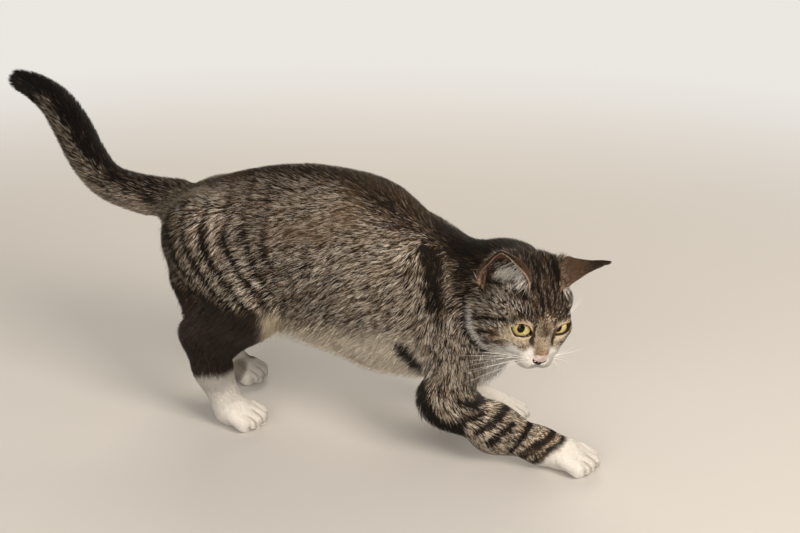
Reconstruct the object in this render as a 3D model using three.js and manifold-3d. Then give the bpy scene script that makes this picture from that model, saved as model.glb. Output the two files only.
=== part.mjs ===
// A half-grown tabby cat, life size, stalking low on its forelegs with its head turned to its right.
// Millimetres. +X is the way the cat walks, +Y its left, +Z up. The origin is on the floor, under the middle
// of the whole figure. The surface is the outside of the coat.
//
// The body is one soft field: round-ended limbs and ovals that melt into each other. Each part is a mesh of
// that field, at a cell size that suits it, cut from its neighbours by thin discs and ovals.
import * as THREE from 'three';
import { mergeVertices } from 'three/addons/utils/BufferGeometryUtils.js';
import Module from 'manifold-3d';

const wasm = await Module();
wasm.setup();

const at = (x, y, z) => new THREE.Vector3(x, y, z);
const degrees = THREE.MathUtils.degToRad;

// ---------------------------------------------------------------- driving dimensions

const gap = 0.35; // between neighbouring parts
const sliver = 0.08; // slivers narrower than this are closed up
const pinch = 0.03; // how far apart two folds of one surface are kept where they would touch
const backHeight = 217; // floor to the top of the arched back
const ribRadius = 71; // from the middle of the rib cage to the top of the back
const pawLength = 42;
const pawWidth = 31;
const pawHeight = 23;
const soleDepth = 1.5; // how far a round sole would sink, and so how much of it is flat
const eyeRadius = 9.6;
const earHeight = 40;
const earHalfWidth = 16;
const earThickness = 2.4;
const noseSize = { x: 5, y: 6.6, z: 5.2 }; // half-axes of the bare nose
// The oval opening between the lids: half-axes, and its turns in degrees.
const eyeOpening = { half: at(9, 9, 6.6), slant: 16, yaw: 27 };

// Cell sizes of the meshes: small where the form is small.
const cell = { trunk: 19, limb: 13, tail: 12, paw: 8.4, head: 7.3 };

// ---------------------------------------------------------------- soft field

// A form is a function from a point (x, y, z) to its distance outside the form's surface.

// Limb from a, with radius ra, to b, with radius rb. flat under 1 narrows it sideways.
function limb(a, ra, b, rb, flat = 1) {
  const along = b.clone().sub(a);
  const lengthSquared = along.lengthSq() || 1;
  return (x, y, z) => {
    const px = x - a.x, py = y - a.y, pz = z - a.z;
    const share = Math.min(1, Math.max(0, (px * along.x + py * along.y + pz * along.z) / lengthSquared));
    const across = (py - along.y * share) / flat;
    return Math.hypot(px - along.x * share, across, pz - along.z * share) - (ra + (rb - ra) * share);
  };
}

// Oval with its middle at c and half-axes rx, ry, rz.
function oval(c, rx, ry, rz) {
  return (x, y, z) => {
    const px = (x - c.x) / rx, py = (y - c.y) / ry, pz = (z - c.z) / rz;
    const inside = Math.hypot(px, py, pz);
    return inside * (inside - 1) / (Math.hypot(px / rx, py / ry, pz / rz) || 1);
  };
}

// Joins forms with a fillet about `soft` wide.
function melt(soft, ...forms) {
  return (x, y, z) => forms.map((form) => form(x, y, z)).reduce((a, b) => {
    const near = Math.max(soft - Math.abs(a - b), 0) / soft;
    return Math.min(a, b) - near * near * soft / 4;
  });
}

// The same form, stated in the frame of `placement`.
function placed(placement, form) {
  const e = placement.clone().invert().elements;
  return (x, y, z) => form(
    e[0] * x + e[4] * y + e[8] * z + e[12],
    e[1] * x + e[5] * y + e[9] * z + e[13],
    e[2] * x + e[6] * y + e[10] * z + e[14],
  );
}

// ---------------------------------------------------------------- pose

const spine = {
  pelvis: at(-153, 0, 151),
  loin: at(-116, 0, 148),
  waist: at(-76, 0, 146),
  ribs: at(-38, 0, backHeight - ribRadius - 6),
  shoulders: at(2, -1, 117),
  chest: at(36, -3, 102),
  neckBase: at(42, -2, 128),
  poll: at(80, -12, 138),
  brisket: at(67, -13, 82),
  throat: at(100, -26, 108),
};

const hind = {
  right: { hip: at(-151, -26, 158), knee: at(-112, -42, 112), hock: at(-158, -42, 83), toes: at(-126, -34, 0) },
  left: { hip: at(-153, 26, 158), knee: at(-122, 42, 112), hock: at(-182, 45, 84), toes: at(-156, 46, 0) },
};

const fore = {
  right: { blade: at(22, -22, 146), shoulder: at(58, -34, 106), elbow: at(49, -43, 50), wrist: at(124, -38, 18),
    toes: at(149, -35, 0) },
  left: { blade: at(20, 22, 146), shoulder: at(50, 28, 106), elbow: at(12, 34, 64), wrist: at(56, 32, 17),
    toes: at(83, 29, 0) },
};

const pawTurn = { hindRight: -12, hindLeft: -8, foreRight: -14, foreLeft: -10 }; // degrees about +Z

// Middle of the tail, and its radius with the coat on, from root to tip.
const tail = [
  { point: at(-188, 0, 180), radius: 18 },
  { point: at(-228, 2, 184), radius: 16 },
  { point: at(-254, 6, 191), radius: 15.5 },
  { point: at(-273, 12, 207), radius: 16 },
  { point: at(-289, 20, 228), radius: 16 },
  { point: at(-306, 28, 246), radius: 14.5 },
  { point: at(-329, 37, 257), radius: 12 },
  { point: at(-350, 45, 261), radius: 9.5 },
];

// The head's own frame: origin midway between the pupils, +X the way the nose points, +Y the cat's left.
const headTurn = { yaw: -51.4, pitch: 21.6, roll: -11.6 }; // degrees: to its right, nose down, left ear down
const headPlacement = new THREE.Matrix4().makeRotationFromEuler(
  new THREE.Euler(degrees(headTurn.roll), degrees(headTurn.pitch), degrees(headTurn.yaw), 'ZYX'),
).setPosition(at(120.5, -44, 120.7));

const face = {
  cranium: at(-36, 0, 3),
  poll: at(-52, 0, 1),
  forehead: at(-10, 0, 7),
  brow: at(-2, 16, 9), // over the left eye
  temple: at(-22, 25.5, 8),
  eye: at(-4.2, 16, -0.6), // middle of the left eyeball
  socket: at(5, 19.5, 0), // middle of the opening over it
  cheek: at(-13, 25, -11),
  ruff: at(-29, 27, -14),
  crown: at(-38, 9, 30),
  earBase: at(-38, 25, 28),
  bridge: at(2.5, 0, -6),
  nose: at(12, 0, -16.5),
  pad: at(9, 7.5, -23.5), // middle of the left whisker pad
  chin: at(4, 0, -30.5),
  jaw: at(-24, 0, -20),
};

// Root and tip of the left ear. The right one is its mirror image, and each tip is lifted by its own amount.
const ear = { root: at(-34, 24.5, 22), tip: at(-20, 48, 52), lift: { left: -5, right: 3 } };

// ---------------------------------------------------------------- flesh

const mirrored = (point, side) => at(point.x, point.y * side, point.z);
const bothSides = (make) => [1, -1].flatMap((side) => make(side));

function trunkForms() {
  const s = spine;
  return [
    limb(s.pelvis, 49, s.loin, 60, 0.78),
    limb(s.loin, 61, s.waist, 69, 0.74),
    limb(s.waist, 69, s.ribs, ribRadius, 0.72),
    limb(s.ribs, ribRadius, s.shoulders, 63, 0.7),
    limb(s.shoulders, 63, s.chest, 49, 0.76),
    limb(s.chest, 38, s.brisket, 19, 0.85),
    limb(s.brisket, 19, s.throat, 12),
  ];
}

function neckForms() {
  return [limb(spine.neckBase, 43, spine.poll, 33, 0.94)];
}

function hindForms({ hip, knee, hock, toes }) {
  const heel = hock.clone().add(at(-3, 0, 0));
  const ham = hip.clone().add(at(-17, 0, -34));
  const calf = knee.clone().lerp(hock, 0.3).add(at(2, 0, -8));
  const instepTop = hock.clone().lerp(toes, 0.2).add(at(5, 0, 0));
  const shin = hock.clone().lerp(toes, 0.45).add(at(-6, 0, 6));
  const instep = toes.clone().add(at(-12, 0, 14));
  return [
    limb(hip, 40, knee, 27, 0.72),
    limb(knee, 27, hock.clone().add(at(1, 0, 0)), 14.5, 0.85),
    limb(calf, 20.5, instepTop, 14.5, 0.85),
    limb(ham, 20, hock.clone().add(at(1, 0, 8)), 9, 0.8),
    limb(heel, 13, shin, 14, 0.92),
    limb(shin, 14, instep, 13.5, 0.95),
  ];
}

function foreForms({ blade, shoulder, elbow, wrist, toes }) {
  const point = elbow.clone().add(at(-6, 0, 3));
  const middle = elbow.clone().lerp(wrist, 0.5).add(at(0, 0, -4));
  const back = toes.clone().add(at(-10, 0, 13));
  return [
    limb(blade, 27, shoulder, 27, 0.7),
    limb(shoulder, 27, elbow, 20, 0.78),
    limb(point, 15.5, elbow, 18, 0.85),
    limb(elbow, 20.5, middle, 18.5, 0.88),
    limb(middle, 18.5, wrist, 12.5, 0.92),
    limb(wrist, 12.5, back, 12),
  ];
}

// Paw with four toes, its frame on the floor under the ball of the foot, +X the way it points.
function pawForms(ball, turn) {
  const placement = new THREE.Matrix4().makeRotationZ(degrees(turn)).setPosition(ball);
  const mid = pawHeight / 2 - soleDepth;
  const palm = oval(at(-5, 0, mid + 1), pawLength * 0.36, pawWidth * 0.44, pawHeight * 0.5);
  const toeReach = [9.5, 14, 13.5, 8.5];
  const toes = toeReach.map((reach, i) => {
    const side = (1.5 - i) * pawWidth * 0.25;
    return limb(at(reach - 9, side * 0.9, mid + 1), 7, at(reach, side, mid - 2.5), 6.6);
  });
  return [placed(placement, melt(2.5, palm, ...toes))];
}

function tailForms() {
  return tail.slice(1).map((to, i) => limb(tail[i].point, tail[i].radius, to.point, to.radius));
}

function headForms() {
  const f = face;
  const skull = [
    oval(f.cranium, 33, 34, 33),
    oval(f.poll, 27, 28, 26),
    limb(f.forehead, 13, at(-28, 0, 14), 17),
    limb(f.jaw, 17, at(2, 0, -24), 8.5),
    ...bothSides((side) => [
      limb(mirrored(f.brow, side), 6, mirrored(f.temple, side), 11.5),
      limb(mirrored(f.cheek, side), 14, at(4, side * 12.5, -15), 8),
      oval(mirrored(f.ruff, side), 17, 14.5, 18),
      oval(mirrored(f.eye, side), 8, 9, 8),
      limb(mirrored(f.crown, side), 8, mirrored(f.earBase, side), 9),
    ]),
  ];
  const muzzle = [
    limb(f.bridge, 8.5, at(10, 0, -14.5), 6.6),
    oval(at(2, 0, -21), 12, 11, 9.5),
    oval(f.chin, 6.5, 7, 5),
    ...bothSides((side) => [oval(mirrored(f.pad, side), 7.8, 7.4, 7)]),
  ];
  return [placed(headPlacement, melt(6, melt(9, ...skull), melt(4, ...muzzle)))];
}

const torso = melt(26, melt(20, ...trunkForms()), ...neckForms(), ...headForms());
const hindLeg = (leg, turn) => melt(7, melt(12, ...hindForms(leg)), ...pawForms(leg.toes, turn));
const foreLeg = (leg, turn) => melt(7, melt(12, ...foreForms(leg)), ...pawForms(leg.toes, turn));
const body = melt(14,
  torso,
  melt(10, ...tailForms()),
  hindLeg(hind.right, pawTurn.hindRight),
  hindLeg(hind.left, pawTurn.hindLeft),
  foreLeg(fore.right, pawTurn.foreRight),
  foreLeg(fore.left, pawTurn.foreLeft),
);

// ---------------------------------------------------------------- mesh of a field

// Closed mesh of `form` inside a box, with one vertex in each cell that the surface crosses.
function meshOf(form, box, size) {
  const { min, max } = box;
  const middle = box.getCenter(at(0, 0, 0));
  const half = box.getSize(at(0, 0, 0)).multiplyScalar(0.5);
  const boxed = (x, y, z) => Math.max(form(x, y, z),
    Math.abs(x - middle.x) - half.x, Math.abs(y - middle.y) - half.y, Math.abs(z - middle.z) - half.z);
  const start = min.clone().subScalar(size * 1.5);
  const count = ['x', 'y', 'z'].map((k) => Math.ceil((max[k] - min[k]) / size) + 4);
  const index = (i, j, k) => (i * count[1] + j) * count[2] + k;
  const values = new Float64Array(count[0] * count[1] * count[2]);
  const eachPoint = (visit) => {
    for (let i = 0; i < count[0]; i++)
      for (let j = 0; j < count[1]; j++)
        for (let k = 0; k < count[2]; k++) visit(i, j, k);
  };
  eachPoint((i, j, k) => {
    values[index(i, j, k)] = boxed(start.x + i * size, start.y + j * size, start.z + k * size);
  });

  const corners = [0, 1, 2, 3, 4, 5, 6, 7].map((n) => [n & 1, (n >> 1) & 1, (n >> 2) & 1]);
  const edges = corners.flatMap((a, m) => corners.slice(m + 1).map((b, n) => [m, m + 1 + n])
    .filter(([p, q]) => corners[p].reduce((sum, v, d) => sum + Math.abs(v - corners[q][d]), 0) === 1));
  const positions = [];
  const vertexOf = new Map();
  eachPoint((i, j, k) => {
    if (i >= count[0] - 1 || j >= count[1] - 1 || k >= count[2] - 1) return;
    const value = corners.map(([a, b, c]) => values[index(i + a, j + b, k + c)]);
    if (value.every((v) => v < 0) || value.every((v) => v >= 0)) return;
    const sum = at(0, 0, 0);
    let crossings = 0;
    for (const [m, n] of edges) {
      if ((value[m] < 0) === (value[n] < 0)) continue;
      const share = value[m] / (value[m] - value[n]);
      sum.add(at(...corners[m].map((v, d) => v + (corners[n][d] - v) * share)));
      crossings += 1;
    }
    sum.divideScalar(crossings).add(at(i, j, k)).multiplyScalar(size).add(start);
    vertexOf.set(index(i, j, k), positions.length / 3);
    positions.push(...onSurface(boxed, sum, size));
  });

  const triangles = [];
  const point = (n) => at(positions[3 * n], positions[3 * n + 1], positions[3 * n + 2]);
  const quad = (a, b, c, d) => {
    const short = point(a).distanceToSquared(point(c)) <= point(b).distanceToSquared(point(d));
    triangles.push(...(short ? [a, b, c, a, c, d] : [b, c, d, b, d, a]));
  };
  eachPoint((i, j, k) => {
    [[1, 0, 0], [0, 1, 0], [0, 0, 1]].forEach((step, axis) => {
      if ([i, j, k].some((v, d) => v + step[d] >= count[d] || (d !== axis && v === 0))) return;
      const from = values[index(i, j, k)] < 0;
      if (from === values[index(i + step[0], j + step[1], k + step[2])] < 0) return;
      const u = [0, 0, 0], v = [0, 0, 0];
      u[(axis + 1) % 3] = 1;
      v[(axis + 2) % 3] = 1;
      const around = [[0, 0], [1, 0], [1, 1], [0, 1]].map(([p, q]) =>
        vertexOf.get(index(i - p * u[0] - q * v[0], j - p * u[1] - q * v[1], k - p * u[2] - q * v[2])));
      quad(...(from ? around : around.reverse()));
    });
  });
  return { positions, triangles };
}

// Slides a point along the field's slope until it is on the surface, by at most half a cell.
function onSurface(form, start, size) {
  const step = 0.05;
  const p = start.clone();
  for (let turn = 0; turn < 3; turn++) {
    const here = form(p.x, p.y, p.z);
    const slope = at(
      form(p.x + step, p.y, p.z) - here,
      form(p.x, p.y + step, p.z) - here,
      form(p.x, p.y, p.z + step) - here,
    ).divideScalar(step);
    p.addScaledVector(slope, -here / Math.max(slope.lengthSq(), 0.2));
  }
  return start.clone().add(p.sub(start).clampLength(0, size / 2)).toArray();
}

// ---------------------------------------------------------------- solids

function solid(positions, triangles) {
  return new wasm.Manifold(new wasm.Mesh({
    numProp: 3,
    vertProperties: new Float32Array(positions),
    triVerts: new Uint32Array(triangles),
  }));
}

// Solid from a three.js geometry, moved by `placement`.
function solidOf(geometry, placement = new THREE.Matrix4()) {
  const bare = geometry.clone();
  bare.deleteAttribute('normal');
  bare.deleteAttribute('uv');
  const merged = mergeVertices(bare.applyMatrix4(placement));
  return solid(merged.attributes.position.array, merged.index.array);
}

function geometryOf(manifold) {
  const { numProp, vertProperties, triVerts } = manifold.getMesh();
  const points = [];
  for (let i = 0; i < vertProperties.length; i += numProp) points.push(...vertProperties.slice(i, i + 3));
  const geometry = new THREE.BufferGeometry();
  geometry.setAttribute('position', new THREE.Float32BufferAttribute(points, 3));
  geometry.setIndex([...triVerts]);
  geometry.computeVertexNormals();
  return geometry;
}

// Draws the vertices that share a place with another one a little inward, so that no two folds touch.
function withoutPinches(geometry) {
  const { position, normal } = geometry.attributes;
  const sharing = new Map();
  for (let i = 0; i < position.count; i++) {
    const key = at(0, 0, 0).fromBufferAttribute(position, i).divideScalar(pinch).round().toArray().join();
    sharing.set(key, [...(sharing.get(key) ?? []), i]);
  }
  for (const i of [...sharing.values()].filter((group) => group.length > 1).flat()) {
    const inward = at(0, 0, 0).fromBufferAttribute(normal, i).multiplyScalar(-pinch);
    const moved = at(0, 0, 0).fromBufferAttribute(position, i).add(inward);
    position.setXYZ(i, moved.x, moved.y, moved.z);
  }
  return geometry;
}

function ball(radius, centre) {
  return solidOf(new THREE.SphereGeometry(radius, 14, 9), new THREE.Matrix4().setPosition(centre));
}

// Cuts the part of `manifold` off that would be below the floor.
function standing(manifold) {
  const ground = new THREE.Matrix4().setPosition(0, 0, -50);
  return manifold.subtract(solidOf(new THREE.BoxGeometry(1200, 600, 100), ground));
}

// The loose piece of `manifold` that holds the point `anchor`.
function pieceAt(manifold, anchor) {
  const probe = ball(0.5, anchor);
  return manifold.decompose().find((piece) => !piece.intersect(probe).isEmpty());
}

// ---------------------------------------------------------------- cuts

const between = (a, b, share) => a.clone().lerp(b, share);

// A thin disc at `centre`, square to `direction`.
function disc(centre, direction, radius) {
  const turn = new THREE.Quaternion().setFromUnitVectors(at(0, 1, 0), direction.clone().normalize());
  return solidOf(new THREE.CylinderGeometry(radius, radius, gap, 8),
    new THREE.Matrix4().compose(centre, turn, at(1, 1, 1)));
}

// The oval space that a head, shoulder or thigh fills, grown by `grow`.
function lobe({ middle, half, frame = new THREE.Matrix4() }, grow = 0) {
  const placement = new THREE.Matrix4().compose(middle, new THREE.Quaternion(), half.clone().addScalar(grow));
  return solidOf(new THREE.SphereGeometry(1, 16, 8), frame.clone().multiply(placement));
}

const lobes = {
  hind_right: { middle: at(-140, -58, 118), half: at(56, 50, 58) },
  hind_left: { middle: at(-148, 58, 118), half: at(56, 50, 58) },
  fore_right: { middle: at(49, -48, 81), half: at(51, 46, 56) },
  fore_left: { middle: at(26, 36, 76), half: at(44, 38, 48) },
};
const legNames = Object.keys(lobes);
const ankleDisc = 34; // radius of the cut over a paw
const footSpace = at(110, 70, 110); // box about the toes that a paw is meshed in
const headLobe = { middle: at(-20, 0, -1), half: at(53, 56, 53), frame: headPlacement };

// The neck is parted from the trunk at the shoulder blades, and the tail at three places along its stations.
const shoulderCut = disc(at(34, -3, 124), at(1, -0.1, 0.45), 120);
const tailCuts = [0.55, 3, 5.2].map((place) => {
  const { point } = tail[Math.floor(place)];
  const next = tail[Math.floor(place) + 1].point;
  return disc(between(point, next, place % 1), next.clone().sub(point), 36);
});

// ---------------------------------------------------------------- meshes at their cell sizes

const space = {
  body: new THREE.Box3(at(-380, -110, -12), at(190, 110, 300)),
  head: new THREE.Box3(at(50, -110, 66), at(170, 40, 190)),
  tail: new THREE.Box3(at(-380, -30, 150), at(-180, 80, 290)),
};

const fieldSolid = (box, size) => {
  const { positions, triangles } = meshOf(body, box, size);
  return solid(positions, triangles);
};
const coarse = fieldSolid(space.body, cell.trunk);
const medium = fieldSolid(space.body, cell.limb);

// ---------------------------------------------------------------- trunk, neck and tail

function coreNodes() {
  const cuts = [shoulderCut, tailCuts[0], ...legNames.map((name) => lobe(lobes[name], gap))];
  const core = cuts.reduce((rest, cut) => rest.subtract(cut), coarse);
  const neck = core.subtract(lobe(headLobe, gap));
  const whole = fieldSolid(space.tail, cell.tail);
  const parted = tailCuts.reduce((rest, cut) => rest.subtract(cut), whole);
  return {
    trunk: pieceAt(core, spine.waist),
    neck: pieceAt(neck, at(48, -3, 140)),
    tail_base: pieceAt(parted, tail[2].point),
    tail_middle: pieceAt(parted, tail[4].point),
    tail_tip: pieceAt(parted, tail[6].point),
  };
}

// ---------------------------------------------------------------- legs

const legJoints = {
  hind_right: hind.right, hind_left: hind.left, fore_right: fore.right, fore_left: fore.left,
};

// How a leg is divided: the names of its upper and lower part, a point inside each, and the middle of the
// ankle cut with the bone that it crosses.
function legPlan(name) {
  const { hip, knee, hock, shoulder, elbow, wrist, toes } = legJoints[name];
  if (name.startsWith('hind')) {
    const ankle = between(hock, toes, 0.55);
    return { upper: 'thigh', lower: 'shank', bone: [hock, toes], ankle, toes,
      inUpper: between(hip, knee, 0.9), inLower: between(hock, ankle, 0.5) };
  }
  const ankle = between(elbow, wrist, 0.92);
  return { upper: 'upper_arm', lower: 'forearm', bone: [elbow, wrist], ankle, toes,
    inUpper: shoulder, inLower: between(elbow, ankle, 0.85) };
}

// A leg is a lobe of thigh or shoulder, a shank or forearm, and a paw.
function legNodes(name) {
  const { upper, lower, bone, ankle, toes, inUpper, inLower } = legPlan(name);
  const ankleCut = disc(ankle, bone[1].clone().sub(bone[0]), ankleDisc);
  const upperLobe = medium.intersect(lobe(lobes[name])).subtract(lobe(headLobe, gap));
  const lowerLeg = medium.subtract(lobe(lobes[name], gap)).subtract(ankleCut);
  const foot = standing(fieldSolid(new THREE.Box3().setFromCenterAndSize(toes, footSpace), cell.paw));
  return {
    [`${upper}_${name}`]: pieceAt(upperLobe, inUpper),
    [`${lower}_${name}`]: pieceAt(lowerLeg, inLower),
    [`paw_${name}`]: pieceAt(foot.subtract(ankleCut), toes.clone().add(at(0, 0, pawHeight / 2))),
  };
}

// ---------------------------------------------------------------- head

// Scoop of the left ear: an open curl of skin that narrows to its tip, `thickness` thick.
function earSolid(thickness) {
  const { root, tip } = ear;
  const up = tip.clone().sub(root).normalize();
  const open = at(0.82, 0.42, -0.38); // the way the scoop faces
  open.addScaledVector(up, -open.dot(up)).normalize();
  const across = up.clone().cross(open);
  const frame = new THREE.Matrix4().makeBasis(open, across, up).setPosition(root);
  const rows = 7, columns = 8, sunk = 7; // sunk: how deep the ear is set into the head
  const height = tip.clone().sub(root).length() + sunk;
  const point = (row, column, inner) => {
    const share = row / rows; // 0 at the root, 1 at the tip
    const side = 2 * column / columns - 1; // -1 and 1 at the two rims
    const belly = 0.86 + 0.3 * Math.sin(Math.PI * Math.min(1, share * 1.4)); // widest a third of the way up
    const wide = earHalfWidth * (1 - share ** 2.2) * belly + earThickness / 2;
    const curl = degrees(88 - 38 * share); // half the angle that the scoop turns through
    const edge = (inner ? -0.5 : 0.5) * thickness * (1 - 0.6 * side ** 4); // thinner at the rims
    const reach = wide / Math.sin(curl) + edge;
    const drop = inner && row === rows ? thickness * 0.6 : 0; // the hollow stops short of the tip
    const deep = 0.9 + 0.65 * (1 - share) ** 2; // and is deepest at the root
    return at(
      wide * 0.65 - reach * Math.cos(side * curl) * deep,
      reach * Math.sin(side * curl),
      height * share - sunk - drop,
    );
  };
  const positions = [];
  const ids = [false, true].map((inner) => Array.from({ length: rows + 1 }, (_, row) =>
    Array.from({ length: columns + 1 }, (_, column) => {
      positions.push(...point(row, column, inner).applyMatrix4(frame).toArray());
      return positions.length / 3 - 1;
    })));
  const triangles = [];
  const quad = (a, b, c, d) => triangles.push(a, b, c, a, c, d);
  const [outer, inner] = ids;
  for (let row = 0; row < rows; row++) {
    for (let c = 0; c < columns; c++) {
      quad(outer[row][c], outer[row + 1][c], outer[row + 1][c + 1], outer[row][c + 1]);
      quad(inner[row][c], inner[row][c + 1], inner[row + 1][c + 1], inner[row + 1][c]);
    }
    quad(outer[row][0], inner[row][0], inner[row + 1][0], outer[row + 1][0]);
    quad(outer[row][columns], outer[row + 1][columns], inner[row + 1][columns], inner[row][columns]);
  }
  for (let c = 0; c < columns; c++) {
    quad(outer[0][c], outer[0][c + 1], inner[0][c + 1], inner[0][c]);
    quad(outer[rows][c], inner[rows][c], inner[rows][c + 1], outer[rows][c + 1]);
  }
  return solid(positions, triangles);
}

// The left ear, or its mirror image, in place on the head.
function placedEar(side, thickness) {
  const mirror = new THREE.Matrix4().makeScale(1, side === 'left' ? 1 : -1, 1);
  const lean = new THREE.Matrix4().makeRotationY(-ear.lift[side] / earHeight);
  const pivot = mirrored(ear.root, side === 'left' ? 1 : -1);
  const about = new THREE.Matrix4().setPosition(pivot).multiply(lean)
    .multiply(new THREE.Matrix4().setPosition(pivot.clone().negate()));
  return earSolid(thickness).transform(headPlacement.clone().multiply(about).multiply(mirror).elements);
}

// The opening between the lids of an eye, higher at its outer corner and facing a little outward.
function socket(side) {
  const sign = side === 'left' ? 1 : -1;
  const slant = new THREE.Euler(sign * degrees(eyeOpening.slant), 0, sign * degrees(eyeOpening.yaw), 'ZYX');
  const turn = new THREE.Quaternion().setFromEuler(slant);
  const placement = new THREE.Matrix4().compose(mirrored(face.socket, sign), turn, eyeOpening.half);
  return solidOf(new THREE.SphereGeometry(1, 14, 8), headPlacement.clone().multiply(placement));
}

function headNodes() {
  const whole = fieldSolid(space.head, cell.head);
  const onHead = (point) => point.clone().applyMatrix4(headPlacement);
  const eyes = { left: onHead(face.eye), right: onHead(mirrored(face.eye, -1)) };
  const noseSolid = (grow) => {
    const half = at(noseSize.x, noseSize.y, noseSize.z).addScalar(grow);
    const inHead = new THREE.Matrix4().compose(face.nose, new THREE.Quaternion(), half);
    return solidOf(new THREE.SphereGeometry(1, 12, 8), headPlacement.clone().multiply(inHead));
  };
  let head = whole.intersect(lobe(headLobe)).subtract(noseSolid(gap));
  for (const side of ['left', 'right']) {
    head = head.subtract(ball(eyeRadius + gap, eyes[side])).subtract(socket(side))
      .subtract(placedEar(side, earThickness + 2 * gap));
  }
  return {
    head: pieceAt(head, onHead(face.cranium)),
    nose: noseSolid(0),
    eye_left: ball(eyeRadius, eyes.left),
    eye_right: ball(eyeRadius, eyes.right),
    ear_left: placedEar('left', earThickness),
    ear_right: placedEar('right', earThickness),
  };
}

// ---------------------------------------------------------------- the whole cat

const fur = { color: 0x7d6b55, roughness: 0.9, metalness: 0 };
const whiteFur = { color: 0xe6dfd3, roughness: 0.9, metalness: 0 };
const darkFur = { color: 0x3d342b, roughness: 0.9, metalness: 0 };
const earSkin = { color: 0x8d6a58, roughness: 0.85, metalness: 0 };
const bareNose = { color: 0xb98d86, roughness: 0.45, metalness: 0 };
const eyeball = { color: 0xa9a04a, roughness: 0.05, metalness: 0 };

function look(name) {
  if (name.startsWith('eye')) return eyeball;
  if (name.startsWith('ear')) return earSkin;
  if (name.startsWith('paw')) return whiteFur;
  return { nose: bareNose, tail_tip: darkFur }[name] ?? fur;
}

const nodes = { ...headNodes(), ...coreNodes(), ...Object.assign({}, ...legNames.map(legNodes)) };

const cat = new THREE.Group();
for (const [name, piece] of Object.entries(nodes)) {
  const geometry = withoutPinches(geometryOf(piece.simplify(sliver)));
  const mesh = new THREE.Mesh(geometry, new THREE.MeshStandardMaterial(look(name)));
  mesh.name = name;
  cat.add(mesh);
}

// Stands the middle of the whole figure over the origin.
const middle = new THREE.Box3().setFromObject(cat).getCenter(at(0, 0, 0));
cat.position.set(-middle.x, -middle.y, 0);

export default cat;
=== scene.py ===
# A young tabby cat, stalking: skin, coat, eyes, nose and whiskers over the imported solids.
# The cat's own measures are in millimetres, in the pose's frame: x forward, y to its left, z up, floor at 0.
import math

import bpy
import numpy as np
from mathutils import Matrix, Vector


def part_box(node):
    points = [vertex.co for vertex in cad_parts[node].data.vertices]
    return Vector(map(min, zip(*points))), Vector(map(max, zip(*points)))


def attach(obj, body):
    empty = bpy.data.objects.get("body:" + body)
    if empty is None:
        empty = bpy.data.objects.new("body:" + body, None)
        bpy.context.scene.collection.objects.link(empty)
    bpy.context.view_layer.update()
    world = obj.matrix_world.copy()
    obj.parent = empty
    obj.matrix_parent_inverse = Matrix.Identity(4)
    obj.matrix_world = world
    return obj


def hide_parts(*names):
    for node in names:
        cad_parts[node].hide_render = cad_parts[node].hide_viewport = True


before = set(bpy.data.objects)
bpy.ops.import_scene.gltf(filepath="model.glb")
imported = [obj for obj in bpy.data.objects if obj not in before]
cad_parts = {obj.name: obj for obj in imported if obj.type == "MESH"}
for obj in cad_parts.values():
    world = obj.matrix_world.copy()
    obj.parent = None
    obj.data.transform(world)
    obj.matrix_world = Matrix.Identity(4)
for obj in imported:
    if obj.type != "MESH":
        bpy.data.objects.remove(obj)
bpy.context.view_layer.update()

MM = 0.001
rng = np.random.default_rng(11)


# ------------------------------------------------------------------ small maths

def vec(*xyz):
    return np.array(xyz, float)


def unit(v):
    return v / np.maximum(np.linalg.norm(v, axis=-1, keepdims=True), 1e-9)


def mix(a, b, share):
    return a + (b - a) * share


def smooth(low, high, x):
    """0 below low, 1 above high, and an S-curve between them. low may be the larger."""
    t = np.clip((x - low) / (high - low), 0, 1)
    return t * t * (3 - 2 * t)


def turn(yaw, pitch, roll):
    """Rotation matrix of a turn by roll about x, then pitch about y, then yaw about z, in degrees."""
    a, b, c = (math.radians(v) for v in (yaw, pitch, roll))
    about_z = np.array([[math.cos(a), -math.sin(a), 0], [math.sin(a), math.cos(a), 0], [0, 0, 1]])
    about_y = np.array([[math.cos(b), 0, math.sin(b)], [0, 1, 0], [-math.sin(b), 0, math.cos(b)]])
    about_x = np.array([[1, 0, 0], [0, math.cos(c), -math.sin(c)], [0, math.sin(c), math.cos(c)]])
    return about_z @ about_y @ about_x


LATTICE_SIDE = 32
LATTICE = np.random.default_rng(5).random([LATTICE_SIDE] * 3).astype(np.float32)


def noise(p, size, shift=0.0):
    """Soft random value from 0 to 1 at each point, with blobs about `size` mm across."""
    q = p / size + shift
    cell = np.floor(q).astype(int)
    t = q - cell
    t = t * t * (3 - 2 * t)
    total = np.zeros(len(p))
    for corner in np.ndindex(2, 2, 2):
        at = (cell + corner) % LATTICE_SIDE
        weight = np.prod(np.where(np.array(corner) == 1, t, 1 - t), axis=1)
        total += weight * LATTICE[at[:, 0], at[:, 1], at[:, 2]]
    return total


# ------------------------------------------------------------------ soft field

# A form is a function from points, an array of rows x, y, z, to their distances outside its surface.

def limb(a, ra, b, rb, flat=1.0):
    """Round-ended limb from a to b. flat under 1 narrows it sideways."""
    along = b - a
    length_squared = along @ along or 1.0

    def form(p):
        q = p - a
        share = np.clip(q @ along / length_squared, 0, 1)
        q = q - share[:, None] * along
        q[:, 1] /= flat
        return np.linalg.norm(q, axis=1) - (ra + (rb - ra) * share)
    return form


def oval(centre, *radii):
    """Ellipsoid with these three half axes."""
    radii = vec(*radii)

    def form(p):
        q = (p - centre) / radii
        inside = np.linalg.norm(q, axis=1)
        return inside * (inside - 1) / np.maximum(np.linalg.norm(q / radii, axis=1), 1e-6)
    return form


def blend(a, b, soft):
    """The lesser of two distances, with a fillet about `soft` wide where they are alike."""
    near = np.maximum(soft - np.abs(a - b), 0) / soft
    return np.minimum(a, b) - near * near * soft / 4


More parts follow.
